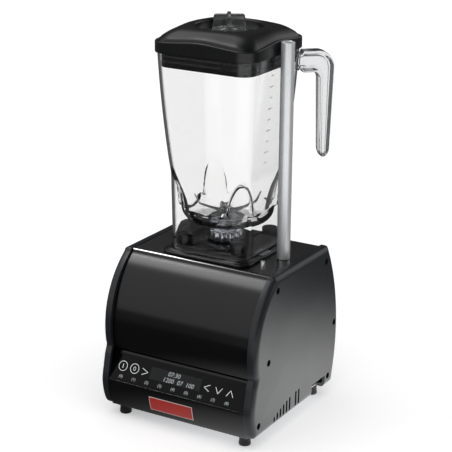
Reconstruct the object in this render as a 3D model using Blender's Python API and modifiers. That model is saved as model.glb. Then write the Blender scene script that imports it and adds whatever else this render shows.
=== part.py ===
"""Bar blender: a black motor base with a touch panel, a clear square jug with a soft lid, and a sensor post.

Metres, +Z up. The origin is on the floor, at the centre of the base's footprint. Everything is modelled
about the jug's axis and hung on one empty, which moves it so that the footprint is centred.
"""
import math

import bmesh
import bpy
from mathutils import Matrix, Vector

# ---- driving dimensions -------------------------------------------------------------------------------
GAP = 0.0003                # clearance between pieces that touch
SLIDE_GAP = 0.0005          # clearance between pieces that slide or turn

# base
WRAP_WIDTH = 0.190          # sheet between the two side covers
COVER_DEPTH = 0.013         # how far each side cover stands out from the sheet
DECK_HEIGHT = 0.2034
SHEET = 0.0012              # sheet thickness
BEND = 0.003                # bend radius at the deck's edges
FRONT_RADIUS = 0.106        # bulging front
FRONT_NOSE = 0.1085         # furthest point of the bulging front
FRONT_NOSE_HEIGHT = 0.116
FRONT_FOOT = 0.0863         # height where the bulging front ends
LIP = 0.008                 # return flange under the bulging front
LIP_DROP = 0.0018           # the flange slopes down by this much
RECESS_BACK = 0.0018        # an upstand closes the gap behind the flange's edge
RECESS_RISE = 0.007
REAR_RADIUS = 0.2305
REAR_NOSE = 0.095
REAR_NOSE_HEIGHT = 0.088
REAR_SPLIT = 0.186          # height where the wrap ends and the rear panel starts
RIM_PROUD = 0.0035          # the covers' rims stand this far outside the sheet
RIM_NOSE = 0.1147
RIM_RADIUS = 0.107
COVER_BOTTOM = 0.0155
COVER_WALL = 0.0035
COVER_CENTRE = (-0.008, 0.110)
VENTS = 9                   # slots in a row, the seventh left closed
VENT_PITCH = 0.0077
VENT_WIDTH = 0.0036
VENT_START = -0.0670
VENT_FOOT = 0.0210
ARCH = (0.0295, 0.0655, 0.0318)   # air opening at the rear of the covers' bottom edge: y from, y to, top
GLAND_PLACE = (-0.060, 0.045)
GLAND_NECK = 0.0060
GLAND_FLANGE = 0.0100

# touch panel
PANEL_TOP = (-0.1033, 0.0819)
PANEL_BOTTOM = (-0.1215, 0.0507)
OVERLAY = 0.0010
OVERLAY_MARGIN = 0.0006
WINDOW = (0.0710, 0.0150)   # display window
WINDOW_CENTRE = (-0.0041, 0.0015)
LOWER_RADIUS = 0.075        # curve of the lower front
BADGE = (0.061, 0.0185, 0.0007)
BADGE_CENTRE = (-0.0055, 0.0322)

# feet and screws
FOOT_RADIUS = 0.0075
FOOT_STEM = 0.0028
FOOT_SPREAD = (0.0852, 0.0988, 0.0720)   # half spacing in x, front row, back row
SCREW_DROP = 0.0159         # the top screws lie this far under the deck
SCREW_PLACES = ((-0.0643, DECK_HEIGHT - SCREW_DROP), (-0.0839, 0.1036), (-0.1052, 0.0310),
                (0.0600, DECK_HEIGHT - SCREW_DROP - 0.0015), (0.0865, 0.0976), (0.0730, 0.0290))
SCREW_SHANK = 0.0019
SCREW_HEAD = 0.0036
SCREW_HEAD_DEPTH = 0.0024
SCREW_SINK = 0.0035         # how far the heads lie below the cover's face

# deck fittings
PAD_HALF = 0.061
PAD_CORNER = 0.018
PAD_FLANGE = 0.0036
PAD_BLOCK_HEIGHT = 0.0105
PAD_HOLE = 0.0235
PAD_POST_PLACE = 0.0370     # four round posts that stand in the jug's corner pockets
PAD_POST_RADIUS = 0.0095
PAD_TOP = DECK_HEIGHT + GAP + PAD_FLANGE
JUG_FOOT = PAD_TOP + GAP
PAD_POST_TOP = JUG_FOOT + 0.0186
POST_RADIUS = 0.0081
POST_WALL = 0.0013
POST_ABOVE_JUG = 0.0079     # the sensor post ends this far above the jug's rim
POST_SPIGOT = 0.0058
PIN_PLACE = (0.0762, -0.0465)
PIN_RADIUS = 0.0027
PIN_HEIGHT = 0.0100
PIN_COLLAR = 0.0040
PIN_STEM = 0.0016
PIN_SPRING = 0.0145         # spring seat to the collar's top

# motor
SHAFT_RADIUS = 0.0050
STATOR_RADIUS = 0.048
STATOR_BORE = 0.0362
STATOR_BASE = 0.095
MOTOR_HEADROOM = 0.0564     # coils, bracket and bearing between the stator and the deck
STATOR_HEIGHT = DECK_HEIGHT - STATOR_BASE - MOTOR_HEADROOM
ARMATURE_RADIUS = 0.0285
COMMUTATOR_RADIUS = 0.0130
BEARING_RADIUS = 0.0110
BEARING_HEIGHT = 0.0070
BRACKET = 0.0060
FAN_RADIUS = 0.042
FAN_HEIGHT = 0.014
FAN_LOW = 0.030
FAN_BLADES = 9
COUPLING_TEETH = 8
COUPLING_RADIUS = 0.0072
SOCKET_RADIUS = 0.0150

# jug
JUG_FOOT_HALF = 0.0533      # half width at the skirt's foot
JUG_WAIST_HALF = 0.0548     # where the ribs end
JUG_WAIST = JUG_FOOT + 0.0924
JUG_MOUTH_HALF = 0.0667
JUG_HEIGHT = 0.2514
JUG_TOP = JUG_FOOT + JUG_HEIGHT
JUG_CORNER = 0.019
JUG_WALL = 0.0032
BOWL_FLOOR = JUG_FOOT + 0.0354
BOWL_FILLET = 0.014
BOWL_FLOOR_RADIUS = 0.0380
RIB_RADIUS = 0.017
RIB_FOOT = 0.047            # the ribs' distance from the axis at the floor
RIB_TOP = 0.067             # and where they fade into the corners
RIB_START = BOWL_FLOOR + 0.007
POST_TOP = JUG_TOP + POST_ABOVE_JUG

# handle
HANDLE_ROOT = 0.0905        # distance from the axis where the handle starts
HANDLE_REACH = 0.1298
HANDLE_TOP = JUG_TOP - 0.0140
HANDLE_BEAM = 0.0265
HANDLE_GRIP = 0.0195
HANDLE_TIP = 0.0125
HANDLE_LENGTH = 0.1335
HANDLE_END = HANDLE_TOP - HANDLE_LENGTH
HANDLE_WIDTH = 0.022
HANDLE_EDGE = 0.0035
BOSS_WIDTH = 0.016          # boss on the jug's corner that carries the handle
BOSS_MARGIN = 0.002

# lid
LID_SKIRT = 0.0018          # rubber outside the jug's rim
LID_HALF = JUG_MOUTH_HALF + SLIDE_GAP + LID_SKIRT
LID_CORNER = 0.021
LID_SKIRT_FOOT = JUG_TOP - 0.0090
LID_STEP = JUG_TOP + 0.0050
LID_TOP = LID_STEP + 0.0148
LID_PLUG_FOOT = JUG_TOP - 0.0260
LID_WALL = 0.0035
WELL_FLOOR = LID_TOP - 0.0108
PLUG_RADIUS = 0.024
PLUG_LEDGE = 0.0060         # the stopper's flange overhangs the hole by this much
PLUG_FLANGE = PLUG_RADIUS + PLUG_LEDGE
FINGER_ROOM = 0.0103        # between the flange and the well's wall
WELL_RADIUS = PLUG_FLANGE + FINGER_ROOM
PLUG_WING = PLUG_RADIUS - 0.0045
PLUG_TOP = LID_TOP + 0.0127
PLUG_FOOT = WELL_FLOOR - 0.0210

POST_CLEAR = 0.0015         # between the sensor post and the lid
POST_X = LID_HALF + POST_CLEAR + POST_RADIUS

# blades
BLADE_RADIUS = 0.0395
BLADE_WIDTH = 0.0110
BLADE_THICKNESS = 0.0016
BLADE_TURN = math.radians(40)
BLADE_SHAFT = 0.0040
HOUSING_RADIUS = 0.0140
NUT_RADIUS = 0.0210
NUT_FOOT = BOWL_FLOOR - 0.0307
NUT_HEIGHT = 0.0155

RING_STEPS = 40             # points round a rounded square

# ---- derived sizes ------------------------------------------------------------------------------------
HALF_WRAP = WRAP_WIDTH / 2
COVER_INNER = HALF_WRAP + GAP
COVER_FACE = HALF_WRAP + COVER_DEPTH
DECK_UNDER = DECK_HEIGHT - SHEET
COVER_TOP = DECK_HEIGHT + 0.001
RIM_REAR = REAR_NOSE + RIM_PROUD
RIM_FRONT = -PANEL_BOTTOM[0] + 0.0006
AXIS_Y = (RIM_FRONT - RIM_REAR) / 2
RIM_NOTCH = FRONT_FOOT + 0.0050
RECESS_FLOOR = FRONT_FOOT - LIP_DROP - 0.0012
END_PLATE_FACE = HALF_WRAP - 0.0015
LOWER_FOOT = COVER_BOTTOM - 0.0015
LOWER_FLANGE = 0.0050
BASE_PLATE_Z = LOWER_FOOT + SHEET + GAP
SHAFT_TOP = DECK_HEIGHT + 0.0050
CUP_HOLE = PLUG_RADIUS + SLIDE_GAP
SOCKET_TOP = NUT_FOOT - 0.0006
HOUSING_TOP = BOWL_FLOOR + 0.0060
BLADE_LOW = HOUSING_TOP + 0.0010

SIDE_ON = Matrix(((0, 0, 1, 0), (1, 0, 0, 0), (0, 1, 0, 0), (0, 0, 0, 1)))   # an outline's x, y laid along y, z


# ---- scene, materials and small builders --------------------------------------------------------------
def clear_scene():
    for obj in list(bpy.data.objects):
        bpy.data.objects.remove(obj, do_unlink=True)


def make_collection(name):
    collection = bpy.data.collections.new(name)
    bpy.context.scene.collection.children.link(collection)
    return collection


def make_material(name, colour, roughness, metallic=0.0, transmission=0.0):
    material = bpy.data.materials.new(name)
    material.use_nodes = True
    shader = material.node_tree.nodes["Principled BSDF"]
    shader.inputs["Base Color"].default_value = (*colour, 1.0)
    shader.inputs["Roughness"].default_value = roughness
    shader.inputs["Metallic"].default_value = metallic
    shader.inputs["Transmission Weight"].default_value = transmission
    return material


clear_scene()
PARTS = make_collection("bar_blender")
CUTTERS = make_collection("cutters")
ROOT = bpy.data.objects.new("blender_axis", None)
ROOT.location = (0, AXIS_Y, 0)
PARTS.objects.link(ROOT)

BLACK_SHEET = make_material("powder_coated_sheet", (0.020, 0.020, 0.021), 0.35)
BLACK_MOULDING = make_material("moulded_black_plastic", (0.045, 0.048, 0.053), 0.42)
GLOSS_BLACK = make_material("touch_panel_glass", (0.004, 0.004, 0.005), 0.08)
RUBBER = make_material("black_rubber", (0.018, 0.018, 0.020), 0.55)
RED = make_material("red_badge", (0.42, 0.012, 0.016), 0.3)
ALUMINIUM = make_material("anodised_aluminium", (0.62, 0.63, 0.64), 0.28, 1.0)
STEEL = make_material("stainless_steel", (0.60, 0.60, 0.61), 0.22, 1.0)
ZINC = make_material("zinc_plated_steel", (0.50, 0.51, 0.53), 0.35, 1.0)
CHROME = make_material("chromed_brass", (0.75, 0.75, 0.77), 0.08, 1.0)
CAST = make_material("die_cast_aluminium", (0.45, 0.46, 0.47), 0.5, 1.0)
LAMINATION = make_material("steel_laminations", (0.16, 0.16, 0.17), 0.5, 1.0)
COPPER = make_material("copper", (0.55, 0.22, 0.10), 0.35, 1.0)
CARBON = make_material("carbon", (0.03, 0.03, 0.03), 0.7)
NYLON = make_material("black_nylon", (0.02, 0.02, 0.022), 0.4)
CLEAR = make_material("clear_copolyester", (0.93, 0.95, 0.96), 0.05, 0.0, 0.95)
BOARD_GREEN = make_material("circuit_board", (0.02, 0.12, 0.05), 0.45)
DISPLAY = make_material("display_glass", (0.01, 0.02, 0.05), 0.15)


def add_object(name, mesh, material, cutter=False):
    """Link a mesh as a part under the root, or as a wire cutter that is never built."""
    obj = bpy.data.objects.new(name, mesh)
    obj.parent = ROOT
    if cutter:
        obj.hide_render = True
        obj.display_type = "WIRE"
        CUTTERS.objects.link(obj)
    else:
        mesh.materials.append(material)
        PARTS.objects.link(obj)
    return obj


def finish_mesh(bm, name):
    bmesh.ops.remove_doubles(bm, verts=bm.verts, dist=1e-6)
    bmesh.ops.recalc_face_normals(bm, faces=bm.faces)
    mesh = bpy.data.meshes.new(name)
    bm.to_mesh(mesh)
    bm.free()
    mesh.shade_smooth()
    mesh.set_sharp_from_angle(angle=math.radians(32))
    return mesh


def box(name, size, centre, material=None, turn=None, bevel=0.0):
    bm = bmesh.new()
    bmesh.ops.create_cube(bm, size=1.0, matrix=Matrix.Diagonal((*size, 1.0)))
    obj = add_object(name, finish_mesh(bm, name), material, cutter=material is None)
    obj.location = centre
    if turn is not None:
        obj.rotation_euler = turn
    if bevel > 0:
        rounding = obj.modifiers.new("edges", "BEVEL")
        rounding.width = bevel
        rounding.segments = 2
    return obj


def cylinders(name, places, radius, low, high, axis="Z", material=None, segments=16):
    """One mesh of equal round bars, at each place across the axis and from low to high along it."""
    turn = {"Z": Matrix.Identity(4), "X": SIDE_ON}[axis]
    bm = bmesh.new()
    for across, up in places:
        middle = turn @ Matrix.Translation((across, up, (low + high) / 2))
        bmesh.ops.create_cone(bm, cap_ends=True, segments=segments, radius1=radius, radius2=radius,
                              depth=high - low, matrix=middle)
    return add_object(name, finish_mesh(bm, name), material, cutter=material is None)


def turned(name, profile, material=None, segments=24, closed=False):
    """Screw a profile of (radius, height) points round Z. It runs down the outer side."""
    mesh = bpy.data.meshes.new(name)
    edges = [(i, i + 1) for i in range(len(profile) - 1)]
    if closed:
        edges.append((len(profile) - 1, 0))
    mesh.from_pydata([(r, 0, z) for r, z in profile], edges, [])
    obj = add_object(name, mesh, material, cutter=material is None)
    screw = obj.modifiers.new("turn", "SCREW")
    screw.steps = segments
    screw.render_steps = segments
    screw.use_merge_vertices = True
    screw.merge_threshold = 1e-5
    screw.use_smooth_shade = True
    return obj


def flat(name, loops, thickness, material=None, place=Matrix.Identity(4), edge=0.0):
    """A flat outline with its holes, extruded evenly about its plane and made a mesh."""
    curve = bpy.data.curves.new(name, "CURVE")
    curve.dimensions = "2D"
    curve.fill_mode = "BOTH"
    curve.extrude = thickness / 2 - edge
    curve.bevel_depth = edge
    curve.bevel_resolution = 2
    curve.offset = -edge
    for loop in loops:
        spline = curve.splines.new("POLY")
        spline.points.add(len(loop) - 1)
        for point, (x, y) in zip(spline.points, loop):
            point.co = (x, y, 0, 1)
        spline.use_cyclic_u = True
    guide = bpy.data.objects.new(name + "_outline", curve)
    PARTS.objects.link(guide)
    guide.matrix_world = place
    bpy.context.view_layer.update()
    evaluated = guide.evaluated_get(bpy.context.evaluated_depsgraph_get())
    bm = bmesh.new()
    bm.from_mesh(bpy.data.meshes.new_from_object(evaluated))
    bpy.data.objects.remove(guide, do_unlink=True)
    obj = add_object(name, finish_mesh(bm, name), material, cutter=material is None)
    obj.matrix_local = place
    return obj


def loft(name, rings, material=None):
    """Skin a stack of rings with the same number of points, and cap both ends."""
    bm = bmesh.new()
    rows = [[bm.verts.new(point) for point in ring] for ring in rings]
    count = len(rows[0])
    for lower, upper in zip(rows, rows[1:]):
        for i in range(count):
            j = (i + 1) % count
            bm.faces.new((lower[i], lower[j], upper[j], upper[i]))
    bm.faces.new(reversed(rows[0]))
    bm.faces.new(rows[-1])
    return add_object(name, finish_mesh(bm, name), material, cutter=material is None)


def combine(target, other, operation):
    step = target.modifiers.new(operation.lower(), "BOOLEAN")
    step.operation = operation
    step.object = other
    return target


def cut(target, *others):
    for other in others:
        combine(target, other, "DIFFERENCE")
    return target


def join(target, *others):
    for other in others:
        combine(target, other, "UNION")
    return target


# ---- outlines -----------------------------------------------------------------------------------------
def circle(radius, count, centre=(0.0, 0.0)):
    steps = [2 * math.pi * i / count for i in range(count)]
    return [(centre[0] + radius * math.cos(a), centre[1] + radius * math.sin(a)) for a in steps]


def toothed(tip, root, teeth, duty=0.5):
    """A ring outline of square teeth between a root and a tip radius."""
    points = []
    for k in range(teeth):
        middle = 2 * math.pi * k / teeth
        half = math.pi * duty / teeth
        other = math.pi / teeth
        for radius, angle in ((root, middle - other), (root, middle - half * 1.15), (tip, middle - half),
                              (tip, middle + half), (root, middle + half * 1.15)):
            points.append((radius * math.cos(angle), radius * math.sin(angle)))
    return points


def arc_in_height(nose, nose_height, radius, side, z_from, z_to, steps):
    """Points on an upright arc whose furthest point is at side * nose, between two heights."""
    points = []
    for i in range(steps + 1):
        z = z_from + (z_to - z_from) * i / steps
        reach = nose - radius + math.sqrt(radius ** 2 - (z - nose_height) ** 2)
        points.append((side * reach, z))
    return points


def offset_path(path, distance):
    """The path moved to its left by a distance, with mitred corners."""
    moved = []
    for i, point in enumerate(path):
        here = Vector(point)
        before = here - Vector(path[i - 1]) if i > 0 else None
        after = Vector(path[i + 1]) - here if i < len(path) - 1 else None
        directions = [d.normalized() for d in (before, after) if d is not None]
        normals = [Vector((-d.y, d.x)) for d in directions]
        middle = sum(normals, Vector((0, 0))).normalized()
        moved.append(tuple(here + middle * (distance / middle.dot(normals[0]))))
    return moved


def strip(path, thickness):
    """A closed outline of a strip of sheet whose outer face follows the path."""
    return list(path) + list(reversed(offset_path(path, thickness)))


def square_reach(half, corner, angle):
    """Distance from the centre to a rounded square's edge at an angle."""
    a, b = sorted((abs(math.cos(angle)), abs(math.sin(angle))), reverse=True)
    flat_side = half - corner
    if half * b <= flat_side * a:
        return half / a
    return flat_side * (a + b) + math.sqrt(corner ** 2 - (flat_side * (a - b)) ** 2)


RING_ANGLES = [2 * math.pi * i / RING_STEPS for i in range(RING_STEPS)]


def ring(reach, z):
    """A ring of points at a height, from a function of the angle."""
    return [(reach(a) * math.cos(a), reach(a) * math.sin(a), z) for a in RING_ANGLES]


def square_ring(half, corner, z):
    return ring(lambda angle: square_reach(half, corner, angle), z)


def square_outline(half, corner):
    return [(x, y) for x, y, _ in square_ring(half, corner, 0.0)]


# ---- base ---------------------------------------------------------------------------------------------
def wrap_path():
    """The wrap's outer face from the rear flange over the deck to the lip, front to -y."""
    rear = arc_in_height(REAR_NOSE, REAR_NOSE_HEIGHT, REAR_RADIUS, 1, REAR_SPLIT,
                         DECK_HEIGHT - BEND, 3)
    front = arc_in_height(FRONT_NOSE, FRONT_NOSE_HEIGHT, FRONT_RADIUS, -1, DECK_HEIGHT - BEND,
                          FRONT_FOOT, 14)
    back_edge = rear[-1][0]
    front_edge = front[0][0]
    deck = [(back_edge - 0.0006, DECK_HEIGHT - BEND * 0.35), (back_edge - 0.0022, DECK_HEIGHT),
            (front_edge + 0.0034, DECK_HEIGHT), (front_edge + 0.0012, DECK_HEIGHT - BEND * 0.35)]
    return rear + deck + front + [lip_edge()]


def lip_edge():
    """Where the return flange under the bulging front ends."""
    reach = FRONT_NOSE - FRONT_RADIUS + math.sqrt(FRONT_RADIUS ** 2 - (FRONT_FOOT - FRONT_NOSE_HEIGHT) ** 2)
    return (LIP - reach, FRONT_FOOT - LIP_DROP)


def housing_wrap():
    wrap = flat("housing_wrap", [strip(wrap_path(), SHEET)], WRAP_WIDTH, BLACK_SHEET, SIDE_ON)
    holes = (("wrap_shaft_hole", (0, 0), 0.011), ("wrap_post_hole", (POST_X, 0), POST_SPIGOT + GAP),
             ("wrap_pin_hole", PIN_PLACE, PIN_RADIUS + SLIDE_GAP))
    for name, place, radius in holes:
        cut(wrap, cylinders(name, [place], radius, DECK_HEIGHT - 0.01, DECK_HEIGHT + 0.01))
    join(wrap, pin_bracket())


def panel_frame(depth):
    """Origin and tilt of the touch panel's plane, at a depth behind its outer face."""
    top, bottom = Vector(PANEL_TOP), Vector(PANEL_BOTTOM)
    down = (bottom - top).normalized()
    outward = Vector((down.y, -down.x))
    middle = (top + bottom) / 2 - outward * depth
    tilt = math.atan2(down.x, down.y)
    return middle, tilt, (bottom - top).length, outward, down


def lower_front_path():
    """An upstand and floor behind the lip, the panel's backing, and the curved lower front."""
    middle, _, length, outward, down = panel_frame(OVERLAY + GAP)
    start = middle - down * (length / 2)
    start = start + down * (start.y - RECESS_FLOOR) / abs(down.y)
    end = middle + down * (length / 2)
    back = lip_edge()[0] + RECESS_BACK
    lower = arc_in_height(-PANEL_BOTTOM[0], PANEL_BOTTOM[1] - 0.001, LOWER_RADIUS, -1,
                          PANEL_BOTTOM[1] - 0.001, LOWER_FOOT, 7)
    flange = (lower[-1][0] + LOWER_FLANGE, LOWER_FOOT)
    return [(back, RECESS_FLOOR + RECESS_RISE), (back, RECESS_FLOOR), tuple(start), tuple(end)] + lower + [flange]


def lower_front():
    piece = flat("lower_front", [strip(lower_front_path(), SHEET)], WRAP_WIDTH, BLACK_SHEET, SIDE_ON)
    _, tilt, _, _, _ = panel_frame(OVERLAY)
    cut(piece, box("window_cutter", (WINDOW[0], 0.006, WINDOW[1]), window_place(OVERLAY),
                   turn=(math.pi - tilt, 0, 0)))


def window_place(depth):
    """The display window's centre, at a depth behind the panel's face."""
    middle, _, _, _, down = panel_frame(depth)
    middle = middle - down * WINDOW_CENTRE[1]
    return (WINDOW_CENTRE[0], middle.x, middle.y)


def rear_panel():
    path = arc_in_height(REAR_NOSE, REAR_NOSE_HEIGHT, REAR_RADIUS, 1, COVER_BOTTOM,
                         REAR_SPLIT - GAP, 10)
    panel = flat("rear_panel", [strip(path, SHEET)], WRAP_WIDTH, BLACK_SHEET, SIDE_ON)
    slots = bmesh.new()
    for row in range(6):
        middle = Matrix.Translation((0, REAR_NOSE, 0.120 + 0.009 * row))
        bmesh.ops.create_cube(slots, size=1.0, matrix=middle @ Matrix.Diagonal((0.100, 0.03, 0.0035, 1)))
    louvres = add_object("louvre_cutter", finish_mesh(slots, "louvre_cutter"), None, cutter=True)
    cut(panel, louvres, on_rear(cylinders("gland_hole", [(0, 0)], GLAND_NECK + GAP, -0.02, 0.02)))


def rear_reach(z):
    return REAR_NOSE - REAR_RADIUS + math.sqrt(REAR_RADIUS ** 2 - (z - REAR_NOSE_HEIGHT) ** 2)


def on_rear(obj):
    """Stand an upright turned piece on the rear panel, square to its curve, at the gland's place."""
    x, z = GLAND_PLACE
    slope = math.asin((z - REAR_NOSE_HEIGHT) / REAR_RADIUS)
    obj.rotation_euler = (slope - math.pi / 2, 0, 0)
    obj.location = (x, rear_reach(z), z)
    return obj


def cord_gland():
    """A moulded strain-relief gland for the mains lead, through the rear panel."""
    profile = [(0.0034, 0.0030), (0.0080, 0.0030), (GLAND_FLANGE, 0.0010), (GLAND_FLANGE, GAP),
               (GLAND_NECK, GAP), (GLAND_NECK, -0.010), (0.0034, -0.010)]
    on_rear(turned("cord_gland", profile, RUBBER, segments=16, closed=True))


def cover_outline():
    """A side cover's outer edge, counter-clockwise seen from +x: top, front, cheek, bottom, rear."""
    front = arc_in_height(RIM_NOSE, FRONT_NOSE_HEIGHT - 0.002, RIM_RADIUS, -1, COVER_TOP - 0.0035,
                          RIM_NOTCH + 0.006, 9)
    notch = [(front[-1][0] + 0.0022, RIM_NOTCH)]
    cheek = [(-RIM_FRONT + 0.0068, RIM_NOTCH - 0.0095), (-RIM_FRONT + 0.0012, PANEL_BOTTOM[1] + 0.007)]
    lower = arc_in_height(RIM_FRONT, PANEL_BOTTOM[1] - 0.001, LOWER_RADIUS, -1, PANEL_BOTTOM[1] - 0.001,
                          COVER_BOTTOM + 0.006, 4)
    corner = [(lower[-1][0] + 0.0055, COVER_BOTTOM)]
    rear = arc_in_height(RIM_REAR, REAR_NOSE_HEIGHT, REAR_RADIUS + RIM_PROUD, 1, COVER_BOTTOM + 0.010,
                         COVER_TOP - 0.0035, 9)
    rear_corner = [(rear[0][0] - 0.006, COVER_BOTTOM)]
    top = [(rear[-1][0] - 0.0035, COVER_TOP), (front[0][0] + 0.004, COVER_TOP)]
    return top + front + notch + cheek + lower + corner + rear_corner + rear


def cover_ring(shrink, x):
    """The cover's outline drawn in towards its centre, at a place along x."""
    cy, cz = COVER_CENTRE
    return [(x, cy + (y - cy) * (1 - shrink), cz + (z - cz) * (1 - shrink)) for y, z in cover_outline()]


def side_cover(name, side):
    """A crowned moulding, hollow inside, with six screw bosses and a row of vent slots."""
    crown = ((0.0, COVER_INNER), (0.0, COVER_INNER + 0.0065), (0.012, COVER_INNER + 0.0098),
             (0.035, COVER_FACE - 0.0010), (0.090, COVER_FACE))
    cover = loft(name, [cover_ring(shrink, side * x) for shrink, x in crown], BLACK_MOULDING)
    floor = COVER_FACE - COVER_WALL
    hollow = loft(name + "_hollow", [cover_ring(0.045, side * (COVER_INNER - 0.002)),
                                     cover_ring(0.065, side * floor)])
    cut(cover, hollow)
    low, high = sorted((side * COVER_INNER, side * (floor + 0.0005)))
    join(cover, cylinders(name + "_bosses", SCREW_PLACES, SCREW_HEAD + 0.0022, low, high, "X",
                          segments=8))
    low, high = sorted((side * (COVER_INNER - 0.004), side * (COVER_FACE + 0.004)))
    cut(cover, cylinders(name + "_shank_holes", SCREW_PLACES, SCREW_SHANK + GAP, low, high, "X",
                         segments=8))
    head_seat = COVER_FACE - SCREW_SINK - SCREW_HEAD_DEPTH
    low, high = sorted((side * head_seat, side * (COVER_FACE + 0.004)))
    cut(cover, cylinders(name + "_head_holes", SCREW_PLACES, SCREW_HEAD + SLIDE_GAP, low, high, "X",
                         segments=8))
    arch = box(name + "_arch", (0.040, ARCH[1] - ARCH[0], ARCH[2]),
               (side * COVER_FACE, (ARCH[0] + ARCH[1]) / 2, ARCH[2] / 2))
    cut(cover, vent_cutter(name + "_vents", side), arch)
    return cover


def vent_cutter(name, side):
    """Upright slots whose tops rise along a quarter arc from the front."""
    bm = bmesh.new()
    for k in range(VENTS):
        if k == 6:
            continue
        rise = math.sin(math.pi / 2 * (k + 1) / VENTS)
        height = 0.0035 + 0.0165 * rise
        middle = Matrix.Translation((side * COVER_FACE, VENT_START + VENT_PITCH * k,
                                     VENT_FOOT + height / 2))
        size = Matrix.Diagonal((0.016, VENT_WIDTH, height, 1))
        bmesh.ops.create_cube(bm, size=1.0, matrix=middle @ size)
    return add_object(name, finish_mesh(bm, name), None, cutter=True)


def side_screws(side_name, side):
    """Pan-head screws through one cover's bosses into the end plate."""
    seat = COVER_FACE - SCREW_SINK - SCREW_HEAD_DEPTH + GAP
    length = seat - END_PLATE_FACE + 0.006
    profile = [(0, SCREW_HEAD_DEPTH), (SCREW_HEAD * 0.75, SCREW_HEAD_DEPTH),
               (SCREW_HEAD, SCREW_HEAD_DEPTH * 0.5), (SCREW_HEAD, 0), (SCREW_SHANK, 0),
               (SCREW_SHANK, -length), (0, -length)]
    for number, (y, z) in enumerate(SCREW_PLACES, start=1):
        screw = turned(f"side_screw_{side_name}_{number}", profile, ZINC, segments=8)
        screw.rotation_euler = (0, side * math.pi / 2, 0)
        screw.location = (side * seat, y, z)


def end_plate(name, side):
    """Flat steel plate inside the sheet that a side cover screws to."""
    inset = SHEET + GAP
    step_height = RECESS_FLOOR + RECESS_RISE + 0.001
    front = arc_in_height(FRONT_NOSE - inset, FRONT_NOSE_HEIGHT, FRONT_RADIUS - inset, -1,
                          DECK_UNDER - 0.0075, step_height, 7)
    middle, _, length, outward, down = panel_frame(OVERLAY + GAP + SHEET + 0.002)
    panel = [tuple(middle - down * (length / 2 - 0.004)), tuple(middle + down * (length / 2))]
    step_in = (lip_edge()[0] + RECESS_BACK + SHEET + 0.001, step_height)
    under_lip = (step_in[0], panel[0][1])
    lower = arc_in_height(-PANEL_BOTTOM[0] - inset, PANEL_BOTTOM[1], LOWER_RADIUS - inset, -1,
                          PANEL_BOTTOM[1] - 0.006, BASE_PLATE_Z + 0.012, 3)
    foot = [(lower[-1][0] + 0.006, BASE_PLATE_Z + 0.0025)]
    rear = arc_in_height(REAR_NOSE - inset, REAR_NOSE_HEIGHT, REAR_RADIUS - inset, 1,
                         BASE_PLATE_Z + 0.0025, DECK_UNDER - 0.0075, 8)
    top = [(rear[-1][0] - 0.007, DECK_UNDER - GAP), (front[0][0] + 0.010, DECK_UNDER - GAP)]
    outline = top + front + [step_in, under_lip] + panel + lower + foot + rear
    holes = [circle(SCREW_SHANK + 2 * GAP, 8, place) for place in SCREW_PLACES]
    lightening = circle(0.045, 24, (-0.005, 0.105))
    place = Matrix.Translation((side * (END_PLATE_FACE - 0.001), 0, 0)) @ SIDE_ON
    flat(name, [outline, lightening] + holes, 0.002, ZINC, place)


def base_plate():
    """Bottom plate between the end plates, with cooling slots and the feet's screw holes."""
    front = -lower_front_path()[-2][0] - SHEET - 0.001
    back = rear_reach(BASE_PLATE_Z) - SHEET - 0.001
    centre_y = (back - front) / 2
    plate = box("base_plate", (WRAP_WIDTH - 0.002, back + front, SHEET),
                (0, centre_y, BASE_PLATE_Z + SHEET / 2), ZINC)
    slots = bmesh.new()
    for k in range(7):
        middle = Matrix.Translation((-0.036 + 0.012 * k, 0.0, BASE_PLATE_Z))
        bmesh.ops.create_cube(slots, size=1.0, matrix=middle @ Matrix.Diagonal((0.005, 0.060, 0.02, 1)))
    cut(plate, add_object("intake_cutter", finish_mesh(slots, "intake_cutter"), None, cutter=True))
    cut(plate, cylinders("foot_holes", foot_places(), FOOT_STEM + GAP, 0, 0.03, segments=10))


def foot_places():
    half, front, back = FOOT_SPREAD
    return [(-half, -front), (half, -front), (half, back), (-half, back)]


def feet():
    """Round rubber feet with a push-in stem above the bottom plate."""
    crown = BASE_PLATE_Z - GAP
    names = ("front_left", "front_right", "back_right", "back_left")
    profile = [(0, crown + 0.005), (FOOT_STEM, crown + 0.005), (FOOT_STEM, crown),
               (FOOT_RADIUS, crown), (FOOT_RADIUS, 0.0018), (FOOT_RADIUS - 0.0015, 0), (0, 0)]
    for name, (x, y) in zip(names, foot_places()):
        foot = turned("foot_" + name, profile, RUBBER, segments=16)
        foot.location = (x, y, 0)


def touch_panel():
    """The glossy overlay on its backing, the display behind the window and the board behind both."""
    _, tilt, length, _, _ = panel_frame(0)
    turn = (math.pi - tilt, 0, 0)

    def behind(depth):
        middle = panel_frame(depth)[0]
        return (0, middle.x, middle.y)

    box("control_overlay", (WRAP_WIDTH, OVERLAY, length - 2 * OVERLAY_MARGIN), behind(OVERLAY / 2),
        GLOSS_BLACK, turn)
    glass = OVERLAY + GAP + 0.0015
    box("display_module", (WINDOW[0] - 0.001, 0.003, WINDOW[1] - 0.001), window_place(glass), DISPLAY, turn)
    board_depth = OVERLAY + GAP + 0.003 + 2 * GAP + 0.0008
    box("control_board", (0.160, 0.0016, 0.026), behind(board_depth), BOARD_GREEN, turn)


def badge_plate():
    """A thin plate following the lower front's curve."""
    x, z = BADGE_CENTRE
    width, height, thickness = BADGE
    path = arc_in_height(-PANEL_BOTTOM[0] + GAP, PANEL_BOTTOM[1] - 0.001, LOWER_RADIUS + GAP, -1,
                         z - height / 2, z + height / 2, 5)
    place = Matrix.Translation((x, 0, 0)) @ SIDE_ON
    flat("badge_plate", [strip(path, thickness)], width, RED, place)


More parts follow.
